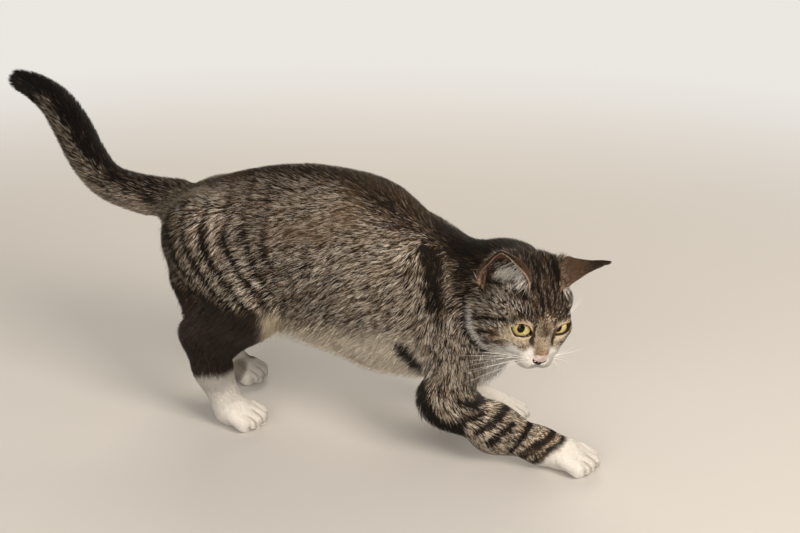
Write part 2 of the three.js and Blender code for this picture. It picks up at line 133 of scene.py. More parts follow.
def melt(soft, *forms):
    """The forms joined with a fillet about `soft` wide."""
    def form(p):
        total = forms[0](p)
        for other in forms[1:]:
            total = blend(total, other(p), soft)
        return total
    return form


def placed(origin, axes, reach, form):
    """The form stated in a frame with its origin and axes (columns), worked out only within `reach` of it."""
    def outer(p):
        q = (p - origin) @ axes
        away = np.linalg.norm(q, axis=1)
        result = away - reach * 0.55
        near = away < reach
        if near.any():
            result[near] = form(q[near])
        return result
    return outer


# ------------------------------------------------------------------ the pose, as the solids have it

# Middles of the body at each place.
SPINE = {
    "pelvis": vec(-153, 0, 151), "loin": vec(-116, 0, 148), "waist": vec(-76, 0, 146),
    "ribs": vec(-38, 0, 140), "shoulders": vec(2, -1, 117), "chest": vec(36, -3, 102),
    "neck_base": vec(42, -2, 128), "poll": vec(80, -12, 138),
    "brisket": vec(67, -13, 82), "throat": vec(100, -26, 108),
}
# Each leg's joints, with its toes on the floor under the ball of the foot, the degrees its paw is turned, and
# where the dark patch lies on a hind paw: ahead of the toes, and above the floor.
HIND = {
    "right": {"hip": vec(-151, -26, 158), "knee": vec(-112, -42, 112), "hock": vec(-158, -42, 83),
              "toes": vec(-126, -34, 0), "turn": -12, "patch": (3, 38)},
    "left": {"hip": vec(-153, 26, 158), "knee": vec(-122, 42, 112), "hock": vec(-182, 45, 84),
             "toes": vec(-156, 46, 0), "turn": -8, "patch": (-2, 15)},
}
FORE = {
    "right": {"blade": vec(22, -22, 146), "shoulder": vec(58, -34, 106), "elbow": vec(49, -43, 50),
              "wrist": vec(124, -38, 18), "toes": vec(149, -35, 0), "turn": -14},
    "left": {"blade": vec(20, 22, 146), "shoulder": vec(50, 28, 106), "elbow": vec(12, 34, 64),
             "wrist": vec(56, 32, 17), "toes": vec(83, 29, 0), "turn": -10},
}
LEGS = {f"{end}_{side}": leg for end, legs in (("hind", HIND), ("fore", FORE)) for side, leg in legs.items()}
# The tail's middle line and its radius at each place.
TAIL = [
    (vec(-188, 0, 180), 18), (vec(-228, 2, 184), 16), (vec(-254, 6, 191), 15.5), (vec(-273, 12, 207), 16),
    (vec(-289, 20, 228), 16), (vec(-306, 28, 246), 14.5), (vec(-329, 37, 257), 12), (vec(-350, 45, 261), 9.5),
]
PAW_LENGTH, PAW_WIDTH, PAW_HEIGHT, SOLE_DEPTH = 42, 31, 23, 1.5
TOE_PITCH = PAW_WIDTH * 0.25
TOE_REACHES = (9.5, 14, 13.5, 8.5)  # how far ahead of the ball of the foot each toe ends, from its left
HEAD_REACH, TAIL_REACH, PAW_REACH = 120, 130, 60  # how far from its middle each form is worked out in full


def smoothed(stations, steps):
    """The stations with more between them, on one smooth curve."""
    rows = np.array([(*middle, radius) for middle, radius in stations])
    rows = np.vstack([2 * rows[0] - rows[1], rows, 2 * rows[-1] - rows[-2]])
    found = []
    for before, a, b, after in zip(rows, rows[1:], rows[2:], rows[3:]):
        for t in np.arange(steps) / steps:
            found.append(a + 0.5 * t * (b - before + t * (2 * before - 5 * a + 4 * b - after
                                                          + t * (3 * (a - b) + after - before))))
    return [(row[:3], row[3]) for row in (*found, rows[-2])]


TAIL_LINE = smoothed(TAIL, 4)

# The head's own frame: origin midway between the pupils, x the way the nose points, y the cat's left.
HEAD_AT = vec(120.5, -44, 120.7)
HEAD = turn(yaw=-51.4, pitch=21.6, roll=-11.6)
EYE_RADIUS = 9.6
FACE = {
    "cranium": vec(-36, 0, 3), "poll": vec(-52, 0, 1), "forehead": vec(-10, 0, 7), "brow": vec(-2, 16, 9),
    "temple": vec(-22, 25.5, 8), "eye": vec(-4.2, 16, -0.6), "cheek": vec(-13, 25, -11),
    "ruff": vec(-29, 27, -14), "crown": vec(-38, 9, 30), "ear_base": vec(-38, 25, 28),
    "bridge": vec(2.5, 0, -6), "pad": vec(9, 7.5, -23), "chin": vec(4.5, 0, -28.8), "jaw": vec(-24, 0, -20),
}
# The left ear, and the right one mirrored, except for how far each one's tip is swung back.
EAR = {"root": vec(-34, 24.5, 22), "tip": vec(-20, 48, 52), "opens": vec(0.82, 0.42, -0.38),
       "swung_back": {1: -5, -1: 3}, "height": 40, "half_width": 16, "thickness": 2.4, "sunk": 7}

SIDES = (1, -1)  # the cat's left and right


def mirrored(point, side):
    return point * vec(1, side, 1)


def on_head(q):
    """From the head's frame to the pose's."""
    return HEAD_AT + q @ HEAD.T


def to_head(p):
    """From the pose's frame to the head's."""
    return (p - HEAD_AT) @ HEAD


def eye_shift():
    """From the pose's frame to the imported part's, found from where the two eyeballs are in each."""
    middles = [sum(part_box(f"eye_{name}"), Vector()) / 2 for name in ("left", "right")]
    part = np.array((middles[0] + middles[1]) / 2) / MM
    return part - on_head(FACE["eye"] * vec(1, 0, 1))


SHIFT = eye_shift()


# ------------------------------------------------------------------ flesh

# Each link of the trunk: the places it joins, the radius at each, and how flat it is.
TRUNK_LINKS = [
    ("pelvis", 49, "loin", 60, 0.78), ("loin", 61, "waist", 69, 0.74), ("waist", 69, "ribs", 71, 0.72),
    ("ribs", 71, "shoulders", 63, 0.7), ("shoulders", 63, "chest", 49, 0.76),
    ("chest", 38, "brisket", 19, 0.85), ("brisket", 19, "throat", 12, 1.0),
]


def hind_forms(leg):
    """Thigh, shin and foot of a hind leg, with the calf and the tendon down to the hock."""
    hip, knee, hock, toes = (leg[k] for k in ("hip", "knee", "hock", "toes"))
    shin = mix(hock, toes, 0.45) + vec(-6, 0, 6)
    return [
        limb(hip, 40, knee, 27, 0.72),
        limb(knee, 27, hock + vec(1, 0, 0), 14.5, 0.85),
        limb(mix(knee, hock, 0.3) + vec(2, 0, -8), 20.5, mix(hock, toes, 0.2) + vec(5, 0, 0), 14.5, 0.85),
        limb(hip + vec(-17, 0, -34), 20, hock + vec(1, 0, 8), 9, 0.8),
        limb(hock + vec(-3, 0, 0), 13, shin, 14, 0.92),
        limb(shin, 14, toes + vec(-12, 0, 14), 13.5, 0.95),
    ]


def fore_forms(leg):
    """Shoulder, upper arm, elbow and forearm of a foreleg, down to the wrist and foot."""
    blade, shoulder, elbow, wrist, toes = (leg[k] for k in ("blade", "shoulder", "elbow", "wrist", "toes"))
    middle = mix(elbow, wrist, 0.5) + vec(0, 0, -4)
    return [
        limb(blade, 27, shoulder, 27, 0.7),
        limb(shoulder, 27, elbow, 20, 0.78),
        limb(elbow + vec(-6, 0, 3), 15.5, elbow, 18, 0.85),
        limb(elbow, 20.5, middle, 18.5, 0.88),
        limb(middle, 18.5, wrist, 12.5, 0.92),
        limb(wrist, 12.5, toes + vec(-10, 0, 13), 12),
    ]


def paw_form(leg):
    """Paw with four toes, in a frame on the floor under the ball of the foot."""
    middle = PAW_HEIGHT / 2 - SOLE_DEPTH
    palm = oval(vec(-5, 0, middle + 1), PAW_LENGTH * 0.36, PAW_WIDTH * 0.44, PAW_HEIGHT * 0.5)
    toes = []
    for i, reach in enumerate(TOE_REACHES):
        side = (1.5 - i) * TOE_PITCH
        toes.append(limb(vec(reach - 9, side * 0.9, middle + 1), 7, vec(reach, side, middle - 2.5), 6.6))
    return placed(leg["toes"], turn(leg["turn"], 0, 0), PAW_REACH, melt(2.5, palm, *toes))


def head_form():
    """Skull with brows, temples, cheeks and ruff, and the muzzle with its lip pads and chin."""
    f = FACE
    skull = [
        oval(f["cranium"], 33, 34, 33),
        oval(f["poll"], 27, 28, 26),
        limb(f["forehead"], 13, vec(-28, 0, 14), 17),
        limb(f["jaw"], 17, vec(2, 0, -24), 8.5),
    ]
    for side in SIDES:
        skull += [
            limb(mirrored(f["brow"], side), 6, mirrored(f["temple"], side), 11.5),
            limb(mirrored(f["cheek"], side), 14, vec(4, side * 12.5, -15), 8),
            oval(mirrored(f["ruff"], side), 17, 14.5, 18),
            oval(mirrored(f["eye"], side), 8, 9, 8),
            limb(mirrored(f["crown"], side), 8, mirrored(f["ear_base"], side), 9),
        ]
    muzzle = [
        limb(f["bridge"], 8.5, vec(10, 0, -14.5), 6.6),
        oval(vec(2, 0, -21), 12, 11, 9.5),
        oval(f["chin"], 6.5, 7, 5),
        *(oval(mirrored(f["pad"], side), 7.8, 7.4, 7) for side in SIDES),
    ]
    return placed(HEAD_AT, HEAD, HEAD_REACH, melt(6, melt(9, *skull), melt(4, *muzzle)))


def tail_form():
    """Links along the tail's line, a little thicker than its flesh by the brush of its hair."""
    middle = vec(-270, 20, 222)
    brush = 1.2
    links = [
        limb(a - middle, radius_a + brush, b - middle, radius_b + brush)
        for (a, radius_a), (b, radius_b) in zip(TAIL_LINE, TAIL_LINE[1:])
    ]
    return placed(middle, np.eye(3), TAIL_REACH, lambda q: np.min([link(q) for link in links], axis=0))


def leg_form(name, leg):
    forms = hind_forms(leg) if "hind" in name else fore_forms(leg)
    return melt(7, melt(12, *forms), paw_form(leg))


head_surface = head_form()
neck_surface = limb(SPINE["neck_base"], 43, SPINE["poll"], 33, 0.94)
trunk_surface = melt(20, *(limb(SPINE[a], ra, SPINE[b], rb, flat) for a, ra, b, rb, flat in TRUNK_LINKS))
tail_surface = tail_form()
leg_surface = {name: leg_form(name, leg) for name, leg in LEGS.items()}
front_surface = melt(26, trunk_surface, neck_surface, head_surface)
coat_surface = melt(14, front_surface, tail_surface, *leg_surface.values())


# ------------------------------------------------------------------ how deep the coat is

BODY_COAT = 5.4  # mm from the skin to the tips of the coat on the body
SHORTEST_SHARE = 0.16  # of that depth, on the toes and the muzzle
EAR_COAT = 0.9


def paw_distance(p):
    """Distance from a point inside the nearest paw."""
    inside = vec(-4, 0, 9)
    return np.min([np.linalg.norm(p - leg["toes"] - inside, axis=1) for leg in LEGS.values()], axis=0)


def face_distance(p):
    """Distance from a point inside the muzzle, so that it is least on the nose and mouth."""
    return np.linalg.norm((to_head(p) - vec(4, 0, -12)) * vec(1, 0.9, 0.9), axis=1)


def coat_depth(p):
    """How far the skin lies under the tips of the coat, in mm."""
    on_paws = mix(SHORTEST_SHARE, 1, smooth(14, 105, paw_distance(p)))
    on_face = mix(SHORTEST_SHARE, 1, smooth(10, 70, face_distance(p)))
    off_floor = smooth(2, 8, p[:, 2])
    return BODY_COAT * np.minimum(on_paws, on_face) * mix(0.25, 1, off_floor)


# ------------------------------------------------------------------ ears, lids and mouth

EAR_UP = unit(EAR["tip"] - EAR["root"])
EAR_OPEN = unit(EAR["opens"] - EAR_UP * (EAR["opens"] @ EAR_UP))
EAR_AXES = np.column_stack([EAR_OPEN, np.cross(EAR_UP, EAR_OPEN), EAR_UP])
EAR_HEIGHT = np.linalg.norm(EAR["tip"] - EAR["root"]) + EAR["sunk"]


def to_ear(q, side):
    """From the head's frame to an ear's: the way it opens, across it, and up from where it is rooted."""
    lean = turn(0, math.degrees(EAR["swung_back"][side] / EAR["height"]), 0)
    pivot = mirrored(EAR["root"], side)
    upright = (q - pivot) @ lean.T + pivot
    local = (upright * vec(1, side, 1) - EAR["root"]) @ EAR_AXES
    return local[:, 0], local[:, 1], local[:, 2]


def ear_place(q, side):
    """Where points are on an ear: mm off its sheet, height from 0 to 1, mm into its hollow, mm from its rim.

    The sheet is a trough that is rolled up most at its foot and narrows to a point.
    """
    opens, across, up = to_ear(q, side)
    share = np.clip((up + EAR["sunk"]) / EAR_HEIGHT, 0, 1)
    belly = 0.86 + 0.3 * np.sin(np.pi * np.minimum(1, share * 1.4))
    wide = EAR["half_width"] * (1 - share ** 2.6) * belly + EAR["thickness"] / 2
    curl = np.radians(88 - 38 * share)
    radius = wide / np.sin(curl)
    inward = (wide * 0.65 - opens) / (0.9 + 0.65 * (1 - share) ** 2)
    angle = np.abs(np.arctan2(across, inward))
    off = np.hypot(inward, across)
    past_rim = np.hypot(inward - radius * np.cos(curl), np.abs(across) - radius * np.sin(curl))
    sheet = np.where(angle <= curl, np.abs(off - radius), past_rim)
    over = np.maximum(up + EAR["sunk"] - EAR_HEIGHT, 0) + np.maximum(-up - EAR["sunk"], 0)
    return np.hypot(sheet, over), share, radius - off, radius * (curl - angle)


def ear_skin(q, side):
    """The ear's sheet, given its thickness, which is less towards the tip."""
    half_at_foot, half_at_tip = 1.35, 0.75
    sheet, share, _, _ = ear_place(q, side)
    return sheet - mix(half_at_foot, half_at_tip, share)


# Columns: out of the eye, along the lids, up.
EYE_TURN = {side: turn(side * 27, 0, side * 16) for side in SIDES}
# Each opening between the lids, in mm: its middle and half its length, the height of its corners, its slope
# outwards, its rise above them, its drop below, and how far outwards its highest and lowest places lie.
LIDS = {
    1: {"middle": 0.3, "half": 9.8, "lift": 2.5, "slope": 1.3, "rise": 6.7, "drop": 0.1, "skew": -0.35},
    -1: {"middle": 0.8, "half": 9.0, "lift": 0.8, "slope": -1.9, "rise": 7.2, "drop": 4.1, "skew": 0.28},
}


def slit(q, side):
    """How far points are outside the almond between an eye's lids, and how far out of the eye's middle."""
    local = (q - mirrored(FACE["eye"], side)) @ EYE_TURN[side]
    lids = LIDS[side]
    along = (local[:, 1] * side + lids["middle"]) / lids["half"]
    up = local[:, 2] - lids["lift"] - lids["slope"] * along
    skewed = np.abs(along - lids["skew"] * (1 - along ** 2))
    upper = lids["rise"] * (1 - skewed ** 2.6)
    lower = lids["drop"] * (1 - skewed ** 1.5)
    return np.maximum(up - upper, -up - lower) * 0.8, local[:, 0]


def mouth_line(q):
    """Height of the closed lips: a shallow W under the nose that ends at the mouth's corners."""
    aside = np.abs(q[:, 1])
    return -27.2 - 2.6 * np.sin(np.pi * np.minimum(aside / 13, 1)) + 0.12 * aside


def with_eye(f, q, side):
    """The head's skin f at q, with lids rolled round an eye's opening and a socket for its ball."""
    ball = np.linalg.norm(q - mirrored(FACE["eye"], side), axis=1)
    almond, outward = slit(q, side)
    roll_radius, roll_out, socket_gap = 1.25, 0.9, 0.15
    f = blend(f, ball - (EYE_RADIUS + 1.5), 3.0)
    roll = np.hypot(almond + 0.2, ball - (EYE_RADIUS + roll_out)) - roll_radius
    f = blend(f, np.where(outward > 0, roll, 9.0), 1.2)
    opening = np.maximum(almond + 0.35, 6.2 - outward)
    opening = np.maximum(opening, ball - EYE_RADIUS - 14)
    f = np.maximum(f, -opening)
    return np.maximum(f, EYE_RADIUS + socket_gap - ball)


def with_ear(f, q, side):
    """The head's skin f at q, with an ear and the mouth of its canal, which the ear's own sheet bounds."""
    f = blend(f, ear_skin(q, side), 4.0)
    opens, across, up = to_ear(q, side)
    canal = np.sqrt(((opens - 1) / 9) ** 2 + (across / 9) ** 2 + ((up + 3) / 11) ** 2) * 9 - 9
    return -blend(-f, np.maximum(canal, 0.8 - ear_place(q, side)[0]), 2.5)


def with_mouth(f, q):
    """The head's skin f at q, with the line of the closed lips and the furrow up to the nose cut into it."""
    lip_cut, furrow_cut = 2.2, 1.3
    lips = np.abs(q[:, 2] - mouth_line(q)) - 0.4
    lips = np.maximum(lips, np.maximum(-(f + lip_cut), -2 - q[:, 0]))
    f = np.maximum(f, -lips)
    furrow = np.maximum(np.abs(q[:, 1]) - 0.35, np.maximum(-(f + furrow_cut), 7 - q[:, 0]))
    furrow = np.maximum(furrow, np.maximum(q[:, 2] + 20, -27 - q[:, 2]))
    return np.maximum(f, -furrow)


def skin_field(p):
    """The skin: the coat's surface drawn in by its depth, with ears, lids and lips."""
    base = np.maximum(coat_surface(p), 0.15 - p[:, 2]) + coat_depth(p)
    q = to_head(p)
    near = np.linalg.norm(q - vec(-15, 0, 5), axis=1) < 90
    if near.any():
        f = base[near]
        for side in SIDES:
            f = with_ear(with_eye(f, q[near], side), q[near], side)
        base[near] = with_mouth(f, q[near])
    return base


# ------------------------------------------------------------------ the lie of the coat

def toward(p, links, fade=9.0):
    """Mean heading of the bones near each point, from (start, end, heading) links."""
    total = np.zeros((len(p), 3))
    for a, b, heading in links:
        along = b - a
        share = np.clip((p - a) @ along / (along @ along), 0, 1)
        away = np.linalg.norm(p - a - share[:, None] * along, axis=1)
        total += np.exp(-away / fade)[:, None] * heading
    return unit(total)


def chain(*joints):
    return [(a, b, unit(b - a)) for a, b in zip(joints, joints[1:])]


def leg_lie(name, leg):
    """Down the leg's bones and out over its toes; down and back over a thigh."""
    hind = "hind" in name
    places = ("hip", "knee", "hock", "toes") if hind else ("blade", "shoulder", "elbow", "wrist", "toes")
    claws = leg["toes"] + turn(leg["turn"], 0, 0)[:, 0] * 20
    links = chain(*(leg[place] for place in places), claws)
    if hind:
        links[0] = (*links[0][:2], unit(vec(-0.55, 0, -0.85)))
    return lambda p, out: toward(p, links)


def tail_lie(p, out):
    return toward(p, chain(*(middle for middle, _ in TAIL_LINE)), 6.0)


def trunk_lie(p, out):
    """Back towards the tail, and downwards over the flanks."""
    return unit(np.column_stack([-np.ones(len(p)), 0 * out[:, 1], -0.12 - 0.4 * np.abs(out[:, 1])]))


def neck_lie(p, out):
    """Back from the head, and down over the throat."""
    back = unit(SPINE["neck_base"] - SPINE["poll"]) + vec(0, 0, -0.35) * np.abs(out[:, 1:2])
    throat = smooth(-0.1, 0.8, out @ unit(vec(0.7, 0, -0.7)))[:, None]
    return unit(mix(back, unit(vec(-0.35, 0, -1)), throat))


def head_lie(p, out):
    """Away from the nose, over the brow and back along the cheeks."""
    return unit(to_head(p) - vec(19, 0, -13)) @ HEAD.T


# Each part's surface, and the function that gives the way its coat lies.
PARTS = {
    "head": (head_surface, head_lie), "neck": (neck_surface, neck_lie),
    "trunk": (trunk_surface, trunk_lie), "tail": (tail_surface, tail_lie),
    **{name: (leg_surface[name], leg_lie(name, leg)) for name, leg in LEGS.items()},
}
FAINT = 0.02  # a share of a part that is too small to count


def part_shares(p):
    """How much each point belongs to each part of the body."""
    away = {name: surface(p) for name, (surface, _) in PARTS.items()}
    least = np.min(list(away.values()), axis=0)
    near = {name: np.exp(-(distance - least) / 7) for name, distance in away.items()}
    total = np.sum(list(near.values()), axis=0)
    return {name: share / total for name, share in near.items()}


def ear_shares(q):
    """How much points in the head's frame are on an ear, in its hollow, on its rim, at its tip or foot."""
    found = np.zeros((5, len(q)))
    for side in SIDES:
        sheet, share, hollow, rim = ear_place(q, side)
        _, across, up = to_ear(q, side)
        here = smooth(4.0, 1.6, sheet) * smooth(2, 12, up)
        edge = here * smooth(1.3, 0.6, rim) * smooth(-0.5, 0.3, hollow) * mix(1, 0.4, smooth(-2, 3, across))
        inside = here * smooth(-0.3, 0.7, hollow) * (1 - edge)
        tip = 0.8 * here * smooth(0.4, 0.85, share)
        foot = smooth(-1, 2, hollow) * smooth(21, 15, hollow) * smooth(0, 3, rim)
        foot = foot * smooth(17, 10, up) * smooth(-4, 0, up) * (1 - here)
        found = np.maximum(found, [here, inside, edge, tip, foot])
    return found


def lie_of_coat(p, out, shares, on_ear):
    """The way the hairs lie on the skin, as unit vectors along it."""
    total = np.zeros((len(p), 3))
    for name, (_, lie) in PARTS.items():
        here = shares[name] > FAINT
        if here.any():
            total[here] += shares[name][here, None] * lie(p[here], out[here])
    for side in SIDES:
        on_this = on_ear * (to_head(p)[:, 1] * side > 0)
        total = mix(total, HEAD @ mirrored(EAR_UP, side), on_this[:, None])
    return unit(total - (total * out).sum(1, keepdims=True) * out)


# ------------------------------------------------------------------ markings

def stroke(u, v, a, b, wide):
    """1 on the line from a to b in the plane of u and v, 0 beyond its width, with a ragged edge between."""
    a, b = np.array(a, float), np.array(b, float)
    along = b - a
    share = np.clip(((u - a[0]) * along[0] + (v - a[1]) * along[1]) / (along @ along), 0, 1)
    away = np.hypot(u - a[0] - share * along[0], v - a[1] - share * along[1])
    return smooth(wide * 1.25, wide * 0.55, away)


def strongest(*marks):
    """The greatest of the marks at each point."""
    return np.max(np.broadcast_arrays(*marks), axis=0)


MARK_NAMES = ("black", "white", "tan", "cream", "sooty", "brown")

# Bars round the foreleg, along and up from the elbow in mm: the ends of each and its half width.
FORE_BARS = [
    ((3, 13), (18, 15), 3.6), ((12, 0), (25, 8), 3.1), ((1, -12), (14, -3), 3.2),
    ((17, 19), (31, 20), 2.6), ((35, 18), (47, 18), 2.4), ((28, -8), (40, 14), 2.9),
    ((42, -8), (51, 10), 2.8), ((61, -8), (66, 14), 2.9), ((72, -9), (79, 5), 3.8),
    ((79, 5), (87, 15), 2.5), ((83, -12), (88, 2), 3.2), ((90, 7), (97, 13), 2.4),
]
FORE_BONE = 84.3  # length from elbow to wrist that the bars are laid out for
FORE_SOCK = {"fore_right": 90, "fore_left": 58}  # how far down from the elbow the white begins, in mm
FLANK_BARS = 17.0  # from one dark bar of the flank to the next
BROW_BARS = 5.8  # from one dark line of the brow to the next, where it is narrowest


def trunk_black(p):
    """Bars down the flank that bend back over the haunch, a ridge along the back, marks at rump and elbow;
    the elbow's is part stripe, part painted shade behind the foreleg.
    """
    x, y, z = p.T
    wobble = noise(p, 15) - 0.5
    drop = np.maximum(176 - z, 0)
    bend = smooth(-50, -105, x)
    across = x - bend * (0.07 * drop + 0.0118 * drop * drop) + 6 * wobble
    bars = smooth(0.2, 0.9, np.cos((across + 159) * 2 * math.pi / FLANK_BARS))
    strength = mix(0.3, 0.95, smooth(-75, -98, x)) * smooth(100, 116, z) * mix(0.4, 1, smooth(188, 160, z))
    strength = strength * mix(1, 0.3, smooth(-62, -20, x))
    half = mix(9, 20, smooth(-60, 0, x))
    ridge = smooth(half + 12, half - 8, np.abs(y + 3) + 10 * wobble) * smooth(150, 178, z)
    rump = smooth(-150, -180, x + 12 * wobble) * smooth(104, 120, z)
    # Part stripe, part painted shade where the right foreleg shades the chest.
    elbow = stroke(x + 3 * wobble, z, (17, 93), (31, 70), 6.0) * smooth(20, 34, -y)
    return strongest(bars * strength, 0.45 * ridge, shoulder_line(p), 0.97 * elbow, 0.42 * rump)


def shoulder_line(p):
    """A dark line down each shoulder from the withers, which fades halfway down."""
    x, y, z = p.T
    wobble = noise(p, 9, 4.0) - 0.5
    away = np.abs(x - mix(42, 34, smooth(128, 176, z)) + 8 * wobble)
    line = 0.66 * smooth(14, 3, away + 5 * (noise(p, 4) - 0.5))
    return line * smooth(16, 28, np.abs(y)) * smooth(100, 148, z) * smooth(190, 178, z)


def neck_black_and_shade(p):
    """Black stripe down the nape, deepened by painted shade in the crease before the shoulders, and a painted
    shadow of the head on the neck behind it.
    """
    x, y, z = p.T
    wobble = noise(p, 13, 3.0) - 0.5
    # The nape's black is part stripe, part painted shade in the crease between neck and shoulders.
    nape = smooth(34, 24, np.abs(y + 14) + 8 * wobble) * smooth(22, 34, x + 6 * wobble) * smooth(154, 165, z)
    nape = nape * mix(1, 0.7, smooth(62, 78, x))
    # Painted shadow: the head's shade on the top of the neck, painted as black.
    head_shadow_on_neck = smooth(44, 60, x + 8 * wobble) * smooth(128, 145, z) * 0.72
    return strongest(0.97 * nape, shoulder_line(p), head_shadow_on_neck)


def tail_black(p):
    """Dark all over, blackest in a line along its top and at its tip, and palest underneath near its root."""
    x, _, z = p.T
    ahead = [-350, -306, -289, -273, -254, -228, -196]
    middle_height = np.interp(x, ahead, [261, 246, 228, 207, 191, 184, 182])
    middle_ahead = np.interp(z, [182, 207, 246, 261], [-228, -273, -306, -350])
    lean = (z - middle_height) * 0.75 + (x - middle_ahead) * 0.6
    wobble = 7 * (noise(p, 9) - 0.5)
    line = smooth(2, 14, lean + 1.6 * wobble) * mix(0.7, 0.42, smooth(-262, -215, x))
    tip = smooth(-310, -323, x + 0.35 * (z - 250) + wobble) * 0.62
    return strongest(line, tip, mix(0.12, 0.24, smooth(-205, -255, x)))


def hind_marks(p, leg):
    """Of a hind leg: how sooty its shin is, its white sock, a dark patch on that, and its pale groin."""
    x, y, z = p.T
    wobble = 5 * (noise(p, 11) - 0.5)
    step = 0.12 * (x - leg["hock"][0])
    front = leg["knee"][0] + 15 + wobble
    groin = smooth(front - 6, front + 5, x) * smooth(122, 108, z + wobble) * smooth(60, 74, z)
    groin = np.maximum(groin, smooth(30, 18, np.abs(y)) * smooth(60, 80, z))
    sock = smooth(54, 46, z - step + wobble)
    sooty = smooth(128, 116, z + 0.12 * (x + 130) + 2 * wobble) * (1 - sock) * (1 - groin)
    ahead, height = leg["patch"]
    patch = smooth(9, 5, np.hypot(x - leg["toes"][0] - ahead, (z - height) * 0.75) + wobble * 0.5)
    return 0.76 * sooty, sock, 0.75 * patch, groin


def fore_marks(p, leg, sock_from):
    """Of a foreleg: its black bars and its white sock."""
    elbow, wrist = leg["elbow"], leg["wrist"]
    x, z = p[:, 0] - elbow[0], p[:, 2] - elbow[2]
    heading = unit(vec(wrist[0] - elbow[0], wrist[2] - elbow[2]))
    along = (x * heading[0] + z * heading[1]) / (np.linalg.norm(wrist - elbow) / FORE_BONE)
    up = -x * heading[1] + z * heading[0]
    ragged = 3.4 * (noise(p, 5) - 0.5) + 1.6 * (noise(p, 2.2) - 0.5)
    bars = strongest(*(stroke(along + ragged, up + ragged, a, b, wide) for a, b, wide in FORE_BARS))
    sock = smooth(sock_from - 3, sock_from + 3, along - 0.55 * (up + 2) + ragged)
    bars = bars * mix(0.5, 0.95, smooth(0.3, 0.55, noise(p, 9, 5.0)))
    return bars * (1 - smooth(sock_from + 2, sock_from + 10, along - 0.5 * up)), sock


def shade_between_toes(p, leg):
    """Painted shade: dusky lines in the creases between a paw's four toes."""
    q = (p - leg["toes"]) @ turn(leg["turn"], 0, 0)
    aside = np.abs(q[:, 1] - TOE_PITCH * np.clip(np.round(q[:, 1] / TOE_PITCH), -1, 1))
    return smooth(1.2, 0.4, aside) * smooth(7, 12, q[:, 0])


def elbow_stripe_and_shade(p, leg):
    """A black line down the back of a foreleg to the elbow and round below it: part stripe, part painted
    shade in the crease behind the leg.
    """
    x, z = p[:, 0] - leg["elbow"][0], p[:, 2] - leg["elbow"][2]
    x = x + 4 * (noise(p, 7) - 0.5)
    places = [(-31, 43), (-18, 22), (-16, 8), (-9, -3), (8, -16)]
    return 0.9 * strongest(*(stroke(x, z, a, b, 6.0) for a, b in zip(places, places[1:])))


def ruff_shade_and_cream(q):
    """Painted shade in a dark line along the crease behind the cheeks' ruff, and the cream line along the
    ruff's edge.
    """
    x, y, z = q.T
    wobble = noise(q, 5) - 0.5
    aside = np.abs(y)
    edge = -(x + z)
    near = smooth(66, 58, np.linalg.norm(q, axis=1)) * smooth(24, 30, aside)
    # Painted shade: this dark line stands for the shade in the crease behind the ruff.
    dark = smooth(3.2, 1.2, np.abs(edge - 43.5 + 2 * wobble)) * near * smooth(-50, -40, x)
    pale = smooth(2.8, 1.2, np.abs(edge - 38.5 + 1.5 * wobble)) * near
    return 0.9 * dark, pale * smooth(-34, -26, x) * smooth(-2, -8, x)


def eye_gap(q):
    """Distance from the edge of the opening between the lids, in mm, out over the face."""
    far = 50.0
    found = np.full(len(q), far)
    for side in SIDES:
        almond, out_of_eye = slit(q, side)
        near = (out_of_eye > 1) & (out_of_eye < 18)
        found = np.minimum(found, np.where(near, np.maximum(almond, 0), far))
    return found


def head_black(q, gap, tear, low):
    """Black of the head: lines fanned over the brow and back over the cheeks, and by the eyes and nose, with
    painted shade in a band under each brow and down the side of the nose.
    """
    x, y, z = q.T
    aside = np.abs(y)
    wobble = noise(q, 5) - 0.5
    in_front = smooth(-2, 3, x)
    on_sides = smooth(12, 18, aside)

    fan = mix(0.8, 1.1, smooth(0, 34, z))
    drift = 3.2 * wobble + 1.2 * (noise(q, 2.5, 9.0) - 0.5)
    bars = smooth(-0.45, 0.45, np.cos((np.abs(y - 0.6) + drift) / (BROW_BARS * fan) * 2 * math.pi))
    low_edge = z - 0.36 * np.abs(aside - 5) - 2.5 * bars + 4 * wobble
    brow = smooth(5, 11, low_edge) * smooth(25, 20, aside - 0.2 * x - 4) * smooth(-64, -52, x)
    brow_lines = brow * mix(0.3, 0.9, bars * smooth(0.2, 0.5, noise(q, 4, 3.0)))
    crown = smooth(-44, -54, x) * 0.45
    behind = smooth(44, 50, 3 * wobble - x - z) * smooth(24, 32, aside) * 0.5

    eye_line = smooth(2.0, 0.9, np.abs(z - 1.1 - (x + 4.8) * 0.614 + 1.6 * wobble)) * smooth(-3, -7, x)
    cheek_line = smooth(1.8, 0.8, np.abs(z + 8 - (x + 1.8) * 0.7 + 2 * wobble))
    cheek_line = cheek_line * smooth(-1, -5, x) * smooth(-30, -22, x)
    low_line = smooth(2.2, 1.0, np.abs(z + 15.5 - (x + 1.8) * 0.85 + 2.4 * wobble))
    low_line = low_line * smooth(4, -2, x) * smooth(-20, -14, x)
    lines_aside = strongest(0.95 * eye_line, 0.7 * cheek_line, 0.6 * low_line) * on_sides

    # Painted shade: a dark band above each eye, where the brow shades it.
    shade_over_eye = 0.42 * smooth(10, 5, gap) * smooth(0.8, 1.8, gap) * smooth(2, 5, z)
    between_eyes = 0.36 * smooth(9, 4, aside) * smooth(12, 4, z) * (1 - low) * in_front
    # Painted shade down the side of the nose: heavy on the cat's left, the shaded side, and faint on its
    # right.
    shade_beside_nose = stroke(aside, z, (8.6, -8.5), (7.2, -14.5), 0.7) * np.where(y > 0, 0.85, 0.25) * in_front
    by_eyes = strongest(shade_over_eye, between_eyes, 0.8 * tear)
    return strongest(brow_lines, crown, behind, lines_aside, by_eyes, shade_beside_nose), brow


